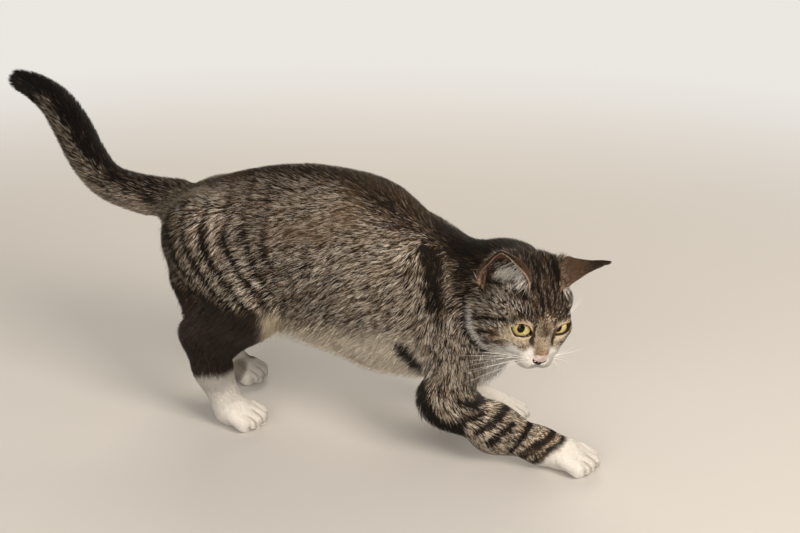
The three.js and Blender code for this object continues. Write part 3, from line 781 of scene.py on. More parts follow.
def head_marks(q):
    """Markings of the head, from points in its own frame: black, white, tan, cream and brown."""
    x, y, z = q.T
    aside = np.abs(y)
    wobble = noise(q, 5) - 0.5
    gap = eye_gap(q)
    in_front = smooth(-2, 3, x)
    on_sides = smooth(12, 18, aside)
    low = smooth(-4, -11, z)

    ragged = aside + 1.2 * (noise(q, 1.8) - 0.5)
    corner, below, end = (10.9, 2.6), (9.2, -2.5), (8.8, -8.0)
    tear = strongest(stroke(ragged, z, corner, below, 2.2), stroke(ragged, z, below, end, 2.1)) * in_front
    black, brow = head_black(q, gap, tear, low)

    muzzle = smooth(-8.5, -13, z + 0.1 * aside + 3 * wobble) * smooth(4, 8, aside)
    muzzle = muzzle * smooth(28, 21, aside + 3 * wobble)
    lips = smooth(-18.5, -20.5, z) * smooth(-10, -2, x)
    white = strongest(muzzle, lips)

    bridge = smooth(9.5, 5.0, aside) * smooth(19, 6, z) * in_front * (1 - muzzle) * (1 - lips)
    cheek = smooth(9, 3, np.hypot(x + 5, z + 13)) * on_sides * 0.35
    behind_ear = smooth(-38, -48, x) * smooth(22, 30, aside) * smooth(4, 14, z) * 0.5
    tan = strongest(bridge * mix(0.2, 0.75, low), cheek, behind_ear) * (1 - muzzle)
    brown = strongest(bridge * mix(0.4, 0.3, low), brow * 0.4)

    inner = smooth(3.4, 1.6, np.abs(aside - 5.6 + 0.15 * z)) * smooth(8, 4, z) * smooth(-9, -4, z) * in_front
    ring = smooth(0.15, 0.45, gap) * smooth(2.1, 1.1, gap) * smooth(-9, -6, z) * mix(1, 0.3, smooth(1, 4, z))
    under = smooth(9, 3, gap) * smooth(-1, -3, z) * smooth(-16, -10, z) * 0.7
    cream = strongest(inner * 0.3, 0.9 * ring, under) * (1 - tear)
    return black, white, tan, cream, brown


def body_marks(p, shares, marks):
    """Adds the markings of trunk, neck and tail."""
    x, y, z = p.T
    body = shares["trunk"] + shares["neck"]
    wobble = noise(p, 20) - 0.5
    # The neck's black includes painted shade and the head's painted shadow.
    marks["black"] += shares["trunk"] * trunk_black(p) + shares["neck"] * neck_black_and_shade(p)
    marks["black"] += shares["tail"] * tail_black(p)
    unbarred = 1 - smooth(0.3, 0.7, marks["black"])
    belly = smooth(114, 84, z + 10 * wobble) * smooth(70, 40, np.abs(y)) * 0.85 * unbarred
    groin = smooth(-52, -78, x) * smooth(106, 92, z + 6 * wobble)
    marks["cream"] += shares["trunk"] * strongest(belly, groin)
    marks["white"] += shares["trunk"] * strongest(0.95 * groin, 0.45 * belly)
    throat = smooth(56, 84, x - 0.3 * z + 24) * smooth(124, 100, z)
    marks["white"] += body * throat * 0.85
    under_tail = smooth(2, -9, z - np.interp(x, [-289, -273, -254, -228, -196], [224, 203, 189, 183, 182]))
    marks["cream"] += shares["tail"] * under_tail * smooth(-300, -260, x) * 0.35
    marks["tan"] += 0.3 * smooth(0.6, 0.8, noise(p, 26, 2.0)) * body
    marks["brown"] += 0.25 * body * smooth(150, 185, z) + 0.4 * shares["neck"] * smooth(140, 155, z)


def leg_marks(p, name):
    """The markings of one leg."""
    leg = LEGS[name]
    # The lines between the toes are painted shade, carried in the brown marking.
    toe_shade = 0.5 * shade_between_toes(p, leg)
    if "hind" in name:
        sooty, sock, patch, groin = hind_marks(p, leg)
        thigh = trunk_black(p) * smooth(110, 122, p[:, 2])
        black = np.maximum(thigh, patch * 0.6) * (1 - groin)
        return {"brown": toe_shade, "sooty": sooty, "white": sock * (1 - patch) * (1 - toe_shade), "black": black,
                "cream": groin}
    bars, sock = fore_marks(p, leg, FORE_SOCK[name])
    black = strongest(bars, shoulder_line(p), elbow_stripe_and_shade(p, leg))
    return {"brown": toe_shade, "white": sock * (1 - toe_shade), "black": black}


def markings(p, shares):
    """How black, white, tan, cream, sooty and brown the coat is at each point, from 0 to 1."""
    marks = {key: np.zeros(len(p)) for key in MARK_NAMES}
    body_marks(p, shares, marks)
    for name in LEGS:
        here = shares[name] > FAINT
        if here.any():
            for key, value in leg_marks(p[here], name).items():
                marks[key][here] += shares[name][here] * value
    here = shares["head"] > FAINT
    for key, value in zip(("black", "white", "tan", "cream", "brown"), head_marks(to_head(p[here]))):
        marks[key][here] += shares["head"][here] * value
    # The ruff's dark line is painted shade; its pale line is cream fur.
    dark, pale = ruff_shade_and_cream(to_head(p))
    marks["black"] = np.maximum(marks["black"], dark)
    marks["white"] = np.maximum(marks["white"], 0.9 * pale)
    return {key: np.clip(value, 0, 1) for key, value in marks.items()}


# ------------------------------------------------------------------ meshes of a field

def lines(stops):
    """Grid lines through (place, spacing) stops: spacing holds from each place to the next."""
    found = [stops[0][0]]
    for (place, spacing), (end, _) in zip(stops, stops[1:]):
        count = max(1, round((end - place) / spacing))
        found += list(np.linspace(place, end, count + 1)[1:])
    extra = -(len(found) - 1) % 4
    step = found[-1] - found[-2]
    found += [found[-1] + step * (i + 1) for i in range(extra)]
    return np.array(found)


def sampled(field, xs, ys, zs):
    """Field on the whole grid: worked out near its surface only, from a first look at every fourth line."""
    axes = [xs, ys, zs]
    rough_axes = [line[::4] for line in axes]
    mesh = np.stack(np.meshgrid(*rough_axes, indexing="ij"), -1)
    rough = field(mesh.reshape(-1, 3)).reshape(mesh.shape[:3])
    spans = np.meshgrid(*[np.diff(line) for line in rough_axes], indexing="ij")
    diagonal = np.sqrt(sum(s * s for s in spans))
    nearest = np.full(diagonal.shape, np.inf)
    for i, j, k in np.ndindex(2, 2, 2):
        end = [n - 1 + c for n, c in zip(rough.shape, (i, j, k))]
        nearest = np.minimum(nearest, np.abs(rough[i:end[0], j:end[1], k:end[2]]))
    busy = nearest < diagonal * 0.8
    cells = busy.repeat(4, 0).repeat(4, 1).repeat(4, 2)
    nodes = np.zeros([len(line) for line in axes], bool)
    for i, j, k in np.ndindex(2, 2, 2):
        end = [len(line) - 1 + c for line, c in zip(axes, (i, j, k))]
        nodes[i:end[0], j:end[1], k:end[2]] |= cells
    full = rough[:-1, :-1, :-1].repeat(4, 0).repeat(4, 1).repeat(4, 2)
    values = np.pad(full, [(0, 1)] * 3, mode="edge").astype(np.float32)
    at = np.nonzero(nodes)
    points = np.column_stack([line[index] for line, index in zip(axes, at)])
    values[at] = np.concatenate([field(part) for part in np.array_split(points, 12)])
    return values


def field_mesh(field, xs, ys, zs):
    """Vertices and quads of the surface where the field is 0, with one vertex in each cell it crosses."""
    values = sampled(field, xs, ys, zs)
    inside = values < 0
    count = np.zeros([n - 1 for n in inside.shape], np.int8)
    for i, j, k in np.ndindex(2, 2, 2):
        end = [n - 1 + c for n, c in zip(inside.shape, (i, j, k))]
        count += inside[i:end[0], j:end[1], k:end[2]]
    cells = np.argwhere((count > 0) & (count < 8))
    ids = np.full(count.shape, -1, np.int64)
    ids[tuple(cells.T)] = np.arange(len(cells))

    corners = np.array(list(np.ndindex(2, 2, 2)))
    value = np.stack([values[tuple((cells + c).T)] for c in corners], 1)
    total, crossings = np.zeros((len(cells), 3)), np.zeros(len(cells))
    for m, a in enumerate(corners):
        for n, b in enumerate(corners):
            if n <= m or np.abs(a - b).sum() != 1:
                continue
            crossed = (value[:, m] < 0) != (value[:, n] < 0)
            gap = np.where(crossed, value[:, m] - value[:, n], 1)
            share = np.where(crossed, value[:, m] / gap, 0)
            total += (a + (b - a) * share[:, None]) * crossed[:, None]
            crossings += crossed
    local = total / crossings[:, None]
    points = np.column_stack([
        mix(line[cells[:, d]], line[cells[:, d] + 1], local[:, d]) for d, line in enumerate((xs, ys, zs))
    ])

    quads = []
    for axis in range(3):
        low = [slice(None)] * 3
        high = [slice(None)] * 3
        low[axis], high[axis] = slice(None, -1), slice(1, None)
        crossed = np.argwhere(inside[tuple(low)] != inside[tuple(high)])
        u, v = np.zeros(3, int), np.zeros(3, int)
        u[(axis + 1) % 3] = v[(axis + 2) % 3] = 1
        around = np.stack([ids[tuple((crossed - o).T)] for o in (0 * u, u, u + v, v)], 1)
        outward = inside[tuple(crossed.T)]
        around[~outward] = around[~outward][:, ::-1]
        quads.append(around)
    return points, np.concatenate(quads)


def slope(field, p, step=0.06):
    """The field's value at each point and the way it rises there."""
    here = field(p)
    return here, np.column_stack([(field(p + step * e) - here) / step for e in np.eye(3)])


def settled(field, p, reach, rounds=2):
    """The points slid along the field's slope onto its surface, by at most `reach` each round."""
    for _ in range(rounds):
        here, up = slope(field, p)
        move = -here[:, None] * up / np.maximum((up * up).sum(1), 0.3)[:, None]
        size = np.linalg.norm(move, axis=1, keepdims=True)
        p = p + move * np.minimum(1, reach / np.maximum(size, 1e-9))
    return p


# ------------------------------------------------------------------ Blender objects

def new_mesh(name, points, faces, attributes, material):
    """Smooth object from points in mm and faces, all triangles or all quads, with named values at points."""
    mesh = bpy.data.meshes.new(name)
    sides = faces.shape[1]
    mesh.vertices.add(len(points))
    mesh.vertices.foreach_set("co", ((points + SHIFT) * MM).astype(np.float32).ravel())
    mesh.loops.add(faces.size)
    mesh.loops.foreach_set("vertex_index", faces.astype(np.int32).ravel())
    mesh.polygons.add(len(faces))
    mesh.polygons.foreach_set("loop_start", np.arange(0, faces.size, sides, dtype=np.int32))
    mesh.polygons.foreach_set("use_smooth", np.ones(len(faces), bool))
    mesh.update(calc_edges=True)
    for key, value in attributes.items():
        mesh.attributes.new(key, "FLOAT", "POINT").data.foreach_set("value", value.astype(np.float32))
    mesh.materials.append(material)
    obj = bpy.data.objects.new(name, mesh)
    bpy.context.scene.collection.objects.link(obj)
    return obj


def skin_shape():
    """One skin over head, neck, trunk, tail, legs, paws and ears, finest at the face, as points and quads."""
    body, feet, head_grid, face_grid = 2.2, 1.6, 1.1, 0.8
    head = on_head(vec(-14, 0, 8))
    face = on_head(vec(4, 0, -8))
    xs = lines([(-372, body), (head[0] - 56, head_grid), (face[0] - 24, face_grid), (face[0] + 24, head_grid),
                (head[0] + 62, 1.8), (182, 2)])
    ys = lines([(-76, body), (head[1] - 50, head_grid), (face[1] - 22, face_grid), (face[1] + 24, head_grid),
                (head[1] + 56, 2.0), (72, 2)])
    zs = lines([(-4, feet), (46, body), (face[2] - 24, face_grid), (face[2] + 24, head_grid),
                (head[2] + 62, body), (286, 2)])
    points, quads = field_mesh(skin_field, xs, ys, zs)
    return settled(skin_field, points, 0.5), quads


# ------------------------------------------------------------------ what the skin carries

def outward(points, quads):
    """Unit normals at a mesh's points, and the areas of its quads."""
    faces = np.cross(points[quads[:, 2]] - points[quads[:, 0]], points[quads[:, 3]] - points[quads[:, 1]]) / 2
    total = [np.bincount(quads.ravel(), np.repeat(faces[:, axis], 4), len(points)) for axis in range(3)]
    return unit(np.column_stack(total)), np.linalg.norm(faces, axis=1)


def near_lids(q, outer, inner):
    """1 in the eyes' openings and on their lids, down to 0 from inner to outer mm outside them."""
    found = np.zeros(len(q))
    for side in SIDES:
        almond, out_of_eye = slit(q, side)
        found = np.maximum(found, smooth(outer, inner, almond) * (out_of_eye > 2) * (out_of_eye < 16))
    return found


def near_lips(q, outer, inner):
    """1 on the line of the lips, down to 0 from inner to outer mm off it."""
    off = smooth(outer, inner, np.abs(q[:, 2] - mouth_line(q)))
    return off * smooth(-3, 0, q[:, 0]) * smooth(14, 12, np.abs(q[:, 1]))


def bare_places(p, q):
    """Where the skin has no coat: lids, eye sockets, nose, lips and soles. 1 is bare."""
    soles = smooth(1.2, 0.4, p[:, 2])
    nose = np.linalg.norm((q - vec(13.4, 0, -18.4)) / vec(7, 7.2, 5.4), axis=1)
    return strongest(soles, near_lids(q, 1.2, 0.6), smooth(1.05, 0.9, nose), near_lips(q, 0.9, 0.4))


def carried(points, quads):
    """Everything the coat and the skin's colours need to know at each point of the skin."""
    out, areas = outward(points, quads)
    shares = part_shares(points)
    q = to_head(points)
    on_ear, in_ear, ear_rim, ear_tip, ear_foot = ear_shares(q)
    bare = np.maximum(bare_places(points, q), 0.9 * ear_rim)
    depth = mix(coat_depth(points), EAR_COAT, on_ear)
    marks = markings(points, shares)
    for key in MARK_NAMES:
        marks[key] = marks[key] * (1 - on_ear) * (1 - ear_foot)
    marks["brown"] = strongest(marks["brown"], on_ear, 0.8 * ear_foot)
    marks["sooty"] = strongest(marks["sooty"], 0.6 * in_ear, 0.4 * on_ear, 0.6 * ear_foot)
    marks["black"] = np.maximum(marks["black"], ear_tip * (1 - in_ear))
    return {
        "out": out, "areas": areas, "shares": shares, "on_ear": on_ear, "in_ear": in_ear, "ear_rim": ear_rim,
        "ear_foot": ear_foot, "bare": bare, "depth": depth, "marks": marks,
        "lie": lie_of_coat(points, out, shares, on_ear),
    }


# ------------------------------------------------------------------ coat

TUFTS = 430_000
# A hair is about 0.05 mm thick, too fine to show, so a tuft is drawn coarser and stands for a wisp of hairs.
TUFT_RADIUS = 0.43  # mm at its root, in coat as deep as the body's
LONGEST_TUFT = 12
SHORT_COAT = 3.4  # mm deep, below which the locks are of the short size
ROOT_DEPTH = 0.3  # how far a hair starts under the skin's surface, at most
SWIRL, OWN_SWIRL = 38, 12  # degrees that tufts turn aside, with those around them and each by itself
SWIRL_SIZE = 20  # mm across a patch of coat that turns the same way
LIFT, OWN_LIFT, LIFT_LIMITS = 28, 6, (12, 48)  # degrees that tufts rise from the skin
STANDS_OUT, STRAY_OUT = 0.3, 2.0  # mm that tips may pass the coat's own surface, and stray ones besides
TIDY_SHARE = 0.95  # of the tufts, which don't stray
TOO_LOOSE, CUT_TO = 3, 0.25  # mm past the coat where a tuft is cut, and the share of it that is left
ABOVE_FLOOR = 0.4
FACE_ENDS, FORE_ENDS = -14, -70  # x where the face's piece ends, on the head, and the trunk's fore pieces end
LOCK_SIZES = {"short": 0.8, "long": 0.95}  # mm across each lock of tufts that are drawn together
PIECE_LIMIT = 200_000  # triangles
PATCH = 0.0015  # half the size of a tuft's patch on the unwrap


def spikes(roots, heading, lift_way, length, radius, rings=1, bend=0.0):
    """Three-sided tapering hairs as points, triangles, share of the way along, and place across each."""
    corners = ((0.0, -1.0), (2.094, 1.0), (4.189, 0.0))  # a third of a turn apart, with their places across
    across = unit(np.cross(lift_way, heading))
    over = np.cross(heading, across)
    points, along, sideways = [], [], []
    for ring in range(rings):
        share = ring / rings
        middle = roots + heading * (length * share)[:, None] + bend * share ** 2
        for turn_by, side in corners:
            width = radius * (1 - share) ** 0.7
            points.append(middle + (across * math.cos(turn_by) + over * math.sin(turn_by)) * width[:, None])
            along.append(np.full(len(roots), share))
            sideways.append(np.full(len(roots), side))
    points.append(roots + heading * length[:, None] + bend)
    along.append(np.ones(len(roots)))
    sideways.append(np.zeros(len(roots)))
    faces = []
    for ring in range(rings - 1):
        low = ring * 3
        for a, b in ((0, 1), (1, 2), (2, 0)):
            faces += [(low + a, low + b, low + 3 + b), (low + a, low + 3 + b, low + 3 + a)]
    low = rings * 3 - 3
    faces += [(low + a, low + b, low + 3) for a, b in ((0, 1), (1, 2), (2, 0))]
    each = rings * 3 + 1
    triangles = (np.array(faces)[None] + (np.arange(len(roots)) * each)[:, None, None]).reshape(-1, 3)
    points, along, sideways = (np.stack(values, 1) for values in (points, along, sideways))
    return points.reshape(-1, 3), triangles, along.ravel(), sideways.ravel()


def unwrapped(roots, out):
    """Places of the roots on a flat unwrap of the skin, in six charts that face the six sides of a box."""
    margin = 0.03
    rows = np.arange(len(roots))
    axis = np.argmax(np.abs(out), axis=1)
    sign = out[rows, axis] > 0
    low = roots.min(0)
    reach = (roots.max(0) - low).max()
    flat = (roots - low) / reach * (1 - 2 * margin) + margin
    local = np.column_stack([flat[rows, (axis + 1) % 3], flat[rows, (axis + 2) % 3]])
    return (local + np.column_stack([axis, sign])) / vec(3, 2)


def locks(p, size):
    """Index of the lock of hairs that each root is in: uneven cells about `size` mm across."""
    bent = p + size * 0.7 * np.column_stack([noise(p, size * 1.6, shift) for shift in (0.0, 7.3, 13.1)])
    cell = np.floor(bent / size).astype(np.int64)
    row = 4001  # more than the cells along any side
    _, index = np.unique(cell @ np.array([1, row, row * row]), return_inverse=True)
    return index


def lock_mean(index, values):
    """The mean of the values over each root's lock."""
    count = np.bincount(index)
    means = [np.bincount(index, values[:, axis]) / count for axis in range(3)]
    return np.column_stack(means)[index]


def hair_piece(name, shape, roots, out, tone, marks, coat_material):
    """Piece of coat with its markings, and with each hair's own patch on the unwrap."""
    points, triangles, along, sideways = shape
    assert len(triangles) < PIECE_LIMIT, name
    each = len(points) // len(roots)
    values = {key: value.repeat(each) for key, value in {**marks, "tone": tone}.items()}
    piece = new_mesh(name, points, triangles, {**values, "along": along}, coat_material)
    uv = unwrapped(roots, out).repeat(each, 0) + PATCH * np.column_stack([sideways, 2 * along - 1])
    layer = piece.data.uv_layers.new(name="OFBake")
    layer.uv.foreach_set("vector", uv[triangles.ravel()].astype(np.float32).ravel())
    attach(piece, "root")
    return piece


def sown(points, quads, traits, count):
    """Scatters roots over the skin, closer together where the coat is shorter.

    Gives a function that turns values at the skin's points into values at the roots.
    """
    depth = traits["depth"]
    paws = smooth(40, 24, paw_distance(points))
    wanted = (1 - traits["bare"]) * (depth + 0.8) ** -1.25 * mix(1, 0.6, paws) * mix(1, 0.2, traits["in_ear"])
    weight = np.cumsum(traits["areas"] * wanted[quads].mean(1))
    face = np.searchsorted(weight, (np.arange(count) + rng.random(count)) / count * weight[-1])
    face = np.minimum(face, len(quads) - 1)
    u, v = rng.random(count), rng.random(count)
    corners = np.column_stack([(1 - u) * (1 - v), u * (1 - v), u * v, (1 - u) * v])

    def at_root(values):
        taken = values[quads[face]]
        share = corners if taken.ndim == 2 else corners[:, :, None]
        return (taken * share).sum(1)
    return at_root


def headings(roots, out, lie, depth, shares, on_ear):
    """From root to tip of each tuft: along the lie of the coat, swirled a little and lifted off the skin."""
    around, by_itself = noise(roots, SWIRL_SIZE) - 0.5, rng.standard_normal(len(roots))
    swirl = math.radians(SWIRL) * around + math.radians(OWN_SWIRL) * by_itself
    lie = unit(lie - (lie * out).sum(1, keepdims=True) * out)
    lie = lie * np.cos(swirl)[:, None] + np.cross(out, lie) * np.sin(swirl)[:, None]
    lift = LIFT + 5 * shares["tail"] - 8 * on_ear + OWN_LIFT * rng.standard_normal(len(roots))
    lift = np.radians(np.clip(lift, *LIFT_LIMITS))
    length = depth / np.sin(np.maximum(lift, math.radians(20))) * (0.7 + 0.4 * rng.random(len(roots)))
    length = np.minimum(length, LONGEST_TUFT)
    return (lie * np.cos(lift)[:, None] + out * np.sin(lift)[:, None]) * length[:, None]


def kept_in(tip, most, roots, out, on_ear):
    """The tufts bent down to the coat's own surface, each by `most` at a time, but for a few stray ones.

    Those that would fly off are cut short, and none goes through the floor.
    """
    stray = STRAY_OUT * (rng.random(len(roots)) > TIDY_SHARE)
    for _ in range(2):
        over = np.clip(coat_surface(roots + tip) - STANDS_OUT - stray, 0, most)
        tip = tip - out * np.where(on_ear < 0.1, over, 0)[:, None]
    off_ears = np.min([ear_place(to_head(roots + tip), side)[0] for side in SIDES], axis=0)
    loose = np.minimum(coat_surface(roots + tip), off_ears)
    tip = tip * np.where(loose > TOO_LOOSE, CUT_TO, 1)[:, None]
    tip[:, 2] = np.maximum(tip[:, 2], ABOVE_FLOOR - roots[:, 2])
    return tip


def piece_names(roots, shares, on_ear):
    """The piece of coat that each root belongs to."""
    names = np.array(list(shares))
    part = names[np.argmax(np.stack(list(shares.values())), axis=0)]
    q = to_head(roots)
    of_head = np.where(q[:, 0] > FACE_ENDS, "face", np.where(q[:, 1] > 0, "head_left", "head_right"))
    side = np.where(roots[:, 1] > 0, "_left", "_right")
    end = np.where(roots[:, 0] > FORE_ENDS, "_fore", "_rear")
    found = np.where(part == "head", of_head, part)
    found = np.where(on_ear > 0.4, "ears", found)
    return np.where(part == "trunk", np.char.add(np.char.add("trunk", end), side), found)


def make_coat(points, quads, traits, coat_material):
    """Tufts over the whole skin, drawn together in locks, in one piece for each part of the body."""
    at_root = sown(points, quads, traits, TUFTS)
    roots = at_root(points)
    out, depth, on_ear = unit(at_root(traits["out"])), at_root(traits["depth"]), at_root(traits["on_ear"])
    shares = {name: at_root(share) for name, share in traits["shares"].items()}
    tip = headings(roots, out, at_root(traits["lie"]), depth, shares, on_ear)
    length = np.linalg.norm(tip, axis=1)

    short, long = (locks(roots, LOCK_SIZES[hair]) for hair in ("short", "long"))
    lock = np.unique(np.where(depth < SHORT_COAT, short, long + len(roots)), return_inverse=True)[1]
    of_lock = rng.random(lock.max() + 1)[lock]
    drawn = mix(0.2, 0.55, smooth(1.5, 5, depth))
    tip = tip + drawn[:, None] * (lock_mean(lock, roots + tip) - roots - tip)
    tip = kept_in(tip, 0.5 * length, roots, out, on_ear)
    length = np.linalg.norm(tip, axis=1)
    heading = tip / np.maximum(length, 1e-6)[:, None]
    tone = 0.74 * of_lock + 0.26 * rng.random(len(roots))
    radius = TUFT_RADIUS * (depth / BODY_COAT) ** 0.6
    roots = roots - out * np.minimum(ROOT_DEPTH, depth * 0.1)[:, None]

    by_ear = np.maximum(on_ear, at_root(traits["ear_foot"]))
    marks = markings(roots, shares)
    marks = {key: mix(value, at_root(traits["marks"][key]), by_ear) for key, value in marks.items()}
    speckle = 0.5 * (of_lock - 0.5) + 0.25 * (rng.random(len(roots)) - 0.5)
    for key in ("black", "sooty"):
        marks[key] = smooth(0.36, 0.64, marks[key] + 1.5 * speckle * smooth(0, 0.15, marks[key]))

    names = piece_names(roots, shares, on_ear)
    for name in np.unique(names):
        own = names == name
        shape = spikes(roots[own], heading[own], out[own], length[own], radius[own])
        own_marks = {key: value[own] for key, value in marks.items()}
        hair_piece(f"coat_{name}", shape, roots[own], out[own], tone[own], own_marks, coat_material)


# ------------------------------------------------------------------ long hair and whiskers

EAR_TUFTS, FRINGE = 1200, 8000
LONG_HAIR_RINGS, WHISKER_RINGS = 3, 12
EAR_TUFT_RADIUS, FRINGE_RADIUS = 0.22, 0.3
LIP_WHISKERS = (52, 48, 42, 34)  # mm long, from the front of each row to its back
BROW_WHISKER, BROW_WHISKERS = 17, 4
LIP_WHISKER_RADIUS, BROW_WHISKER_RADIUS = 0.22, 0.13


def plain_marks(count, **given):
    """Markings of hairs that are all alike."""
    return {key: np.full(count, float(given.get(key, 0))) for key in MARK_NAMES}


def chosen_corners(quads, areas, wanted, count):
    """Points of the skin picked at random, by the area around them and how much hair is wanted there."""
    weight = areas * wanted[quads].mean(1)
    return quads[rng.choice(len(quads), count, p=weight / weight.sum()), 0]


def make_ear_hair(points, quads, traits, coat_material):
    """White tufts that spring from the foot of each ear's hollow and hang outwards and down over it."""
    q = to_head(points)
    of_both = zip(to_ear(q, 1), to_ear(q, -1))
    _, across, height = (np.where(q[:, 1] > 0, left, right) for left, right in of_both)
    wanted = (traits["in_ear"] + traits["ear_foot"]) * smooth(7, -5, across) * smooth(13, 4, height)
    corner = chosen_corners(quads, traits["areas"], wanted, EAR_TUFTS)
    roots, out = points[corner], traits["out"][corner]
    side = np.sign(to_head(roots)[:, 1])
    still = np.zeros(len(roots))
    aim = np.column_stack([still + 0.3, 0.5 * side, still - 0.8]) @ HEAD.T
    heading = unit(aim + 0.35 * out + 0.4 * rng.standard_normal(roots.shape))
    length = 7 + 8 * rng.random(len(roots))
    bend = (np.column_stack([still - 0.3, 0.2 * side, still - 0.7]) @ HEAD.T) * length[:, None] * 0.4
    radius = np.full(len(roots), EAR_TUFT_RADIUS)
    shape = spikes(roots - out * ROOT_DEPTH, heading, out, length, radius, LONG_HAIR_RINGS, bend)
    tone = 0.3 + 0.7 * rng.random(len(roots))
    hair_piece("coat_ear_tufts", shape, roots, out, tone, plain_marks(len(roots), white=0.65), coat_material)


def make_fringe(points, quads, traits, coat_material):
    """Longer hairs that hang along the belly, the chest, the backs of the thighs and the elbows."""
    x, _, z = points.T
    out, shares = traits["out"], traits["shares"]
    under = shares["trunk"] * smooth(0.1, -0.4, out[:, 2]) * smooth(118, 100, z)
    chest = (shares["neck"] + shares["trunk"]) * smooth(50, 66, x) * smooth(0.2, -0.2, out[:, 2])
    chest = chest * smooth(130, 118, z)
    hams = sum(shares[name] for name in LEGS if "hind" in name) * smooth(-0.5, -0.9, out[:, 0])
    hams = hams * smooth(90, 110, z) * 0.7
    elbows = sum(shares[name] for name in LEGS if "fore" in name) * smooth(-0.4, -0.8, out[:, 0])
    elbows = elbows * smooth(30, 50, z) * 0.5
    corner = chosen_corners(quads, traits["areas"], under + chest + hams + elbows, FRINGE)
    roots, out, lie = points[corner], out[corner], traits["lie"][corner]
    heading = unit(0.8 * lie + 0.5 * out + vec(0, 0, -0.35) + 0.2 * rng.standard_normal(roots.shape))
    length = traits["depth"][corner] * (1.7 + 1.1 * rng.random(len(roots)))
    bend = (lie * 0.5 + vec(0, 0, -0.3)) * length[:, None] * 0.3
    over = np.maximum(coat_surface(roots + heading * length[:, None] + bend) - 3.5, 0)
    bend = bend - out * over[:, None]
    radius = np.full(len(roots), FRINGE_RADIUS)
    shape = spikes(roots - out * ROOT_DEPTH, heading, out, length, radius, LONG_HAIR_RINGS, bend)
    marks = {key: value[corner] for key, value in traits["marks"].items()}
    marks["cream"] = np.maximum(marks["cream"], 0.8 * under[corner])
    marks["white"] = np.maximum(marks["white"], 0.6 * chest[corner])
    hair_piece("coat_fringe", shape, roots, out, rng.random(len(roots)), marks, coat_material)


def lip_whisker(side, row, place):
    """Root, heading, length and bend of a whisker on a lip pad, in the head's frame."""
    root = vec(11.5 - 2.6 * place - 0.4 * row, side * (10 + 1.5 * place + 0.6 * row), -18.5 - 1.9 * row)
    heading = vec(-0.05 - 0.14 * place, side * 1.0, 0.12 - 0.34 * row + 0.12 * (rng.random() - 0.5))
    length = LIP_WHISKERS[place] * (0.82 + 0.2 * rng.random())
    bend = vec(-0.3, -side * 0.10, -0.3 - 0.08 * row) * length * (0.7 + 0.5 * rng.random())
    return root, heading, length, bend


def brow_whisker(side, place):
    """Root, heading, length and bend of a whisker over an eye, in the head's frame."""
    root = vec(0.5 - 1.5 * place, side * (17 + 2.2 * place), 12.5 + 0.5 * place)
    heading = vec(0.45 - 0.12 * place, side * (0.35 + 0.12 * place), 1.0)
    length = BROW_WHISKER * (0.7 + 0.4 * rng.random())
    bend = vec(-0.35, side * 0.12, 0.0) * length * (0.6 + 0.5 * rng.random())
    return root, heading, length, bend


def make_whiskers(coat_material):
    """White whiskers in three rows on each lip pad, and shorter ones over the eyes."""
    found = []
    for side in SIDES:
        found += [lip_whisker(side, row, place) for row in range(3) for place in range(len(LIP_WHISKERS))]
        found += [brow_whisker(side, place) for place in range(BROW_WHISKERS)]
    roots, heading, length, bend = (np.array(values) for values in zip(*found))
    heading, bend = unit(heading) @ HEAD.T, bend @ HEAD.T
    roots = settled(skin_field, on_head(roots), 6.0, 4) - heading * 0.8
    on_lip = length > 1.2 * BROW_WHISKER
    radius = np.where(on_lip, LIP_WHISKER_RADIUS, BROW_WHISKER_RADIUS)
    shape = spikes(roots, heading, np.tile(HEAD[:, 0], (len(roots), 1)), length, radius, WHISKER_RINGS, bend)
    marks = plain_marks(len(roots), white=1)
    hair_piece("whiskers", shape, roots, heading, np.ones(len(roots)), marks, coat_material)


# ------------------------------------------------------------------ materials

def linear(hex_colour):
    """Linear colour of an sRGB one such as 0x8a7a5c."""
    shares = [((hex_colour >> shift) & 255) / 255 for shift in (16, 8, 0)]
    return (*(s / 12.92 if s <= 0.04045 else ((s + 0.055) / 1.055) ** 2.4 for s in shares), 1.0)


def add(tree, kind, inputs=None, **settings):
    """Adds a node to a tree. Among its inputs, a socket is linked, a hex colour made linear, a number set."""
    node = tree.nodes.new(kind)
    for name, value in settings.items():
        setattr(node, name, value)
    for name, value in (inputs or {}).items():
        socket = node.inputs[name]
        if isinstance(value, bpy.types.NodeSocket):
            tree.links.new(value, socket)
        elif socket.type == "RGBA":
            socket.default_value = linear(value)
        else:
            socket.default_value = value
    return node


def layered(tree, colour, *layers):
    """The colour with layers laid over it, each stated by its share and its own colour and, where they aren't
    0 and 1, by the values of the share at which it starts and is full."""
    for share, over, *span in layers:
        if span:
            start, full = span
            share = add(tree, "ShaderNodeMapRange", {"Value": share, "From Min": start, "From Max": full},
                        interpolation_type="SMOOTHSTEP").outputs["Result"]
        mixed = add(tree, "ShaderNodeMix", {"Factor": share, "A": colour, "B": over}, data_type="RGBA")
        colour = mixed.outputs["Result"]
    return colour


def new_material(name):
    """Empty material, and its tree."""
    made = bpy.data.materials.new(name)
    made.use_nodes = True
    made.node_tree.nodes.clear()
    return made, made.node_tree


# How each marking colours the hair, from its darkest hairs to its palest.
MARK_COLOURS = [("tan", 0x7c6548, 0xc4a47c), ("brown", 0x3c2c20, 0x8a6c4e), ("cream", 0xc9b595, 0xf4e8d2),
                ("sooty", 0x060404, 0x50423a), ("black", 0x0b0908, 0x2b221c), ("white", 0xdad6cf, 0xf0ede7)]


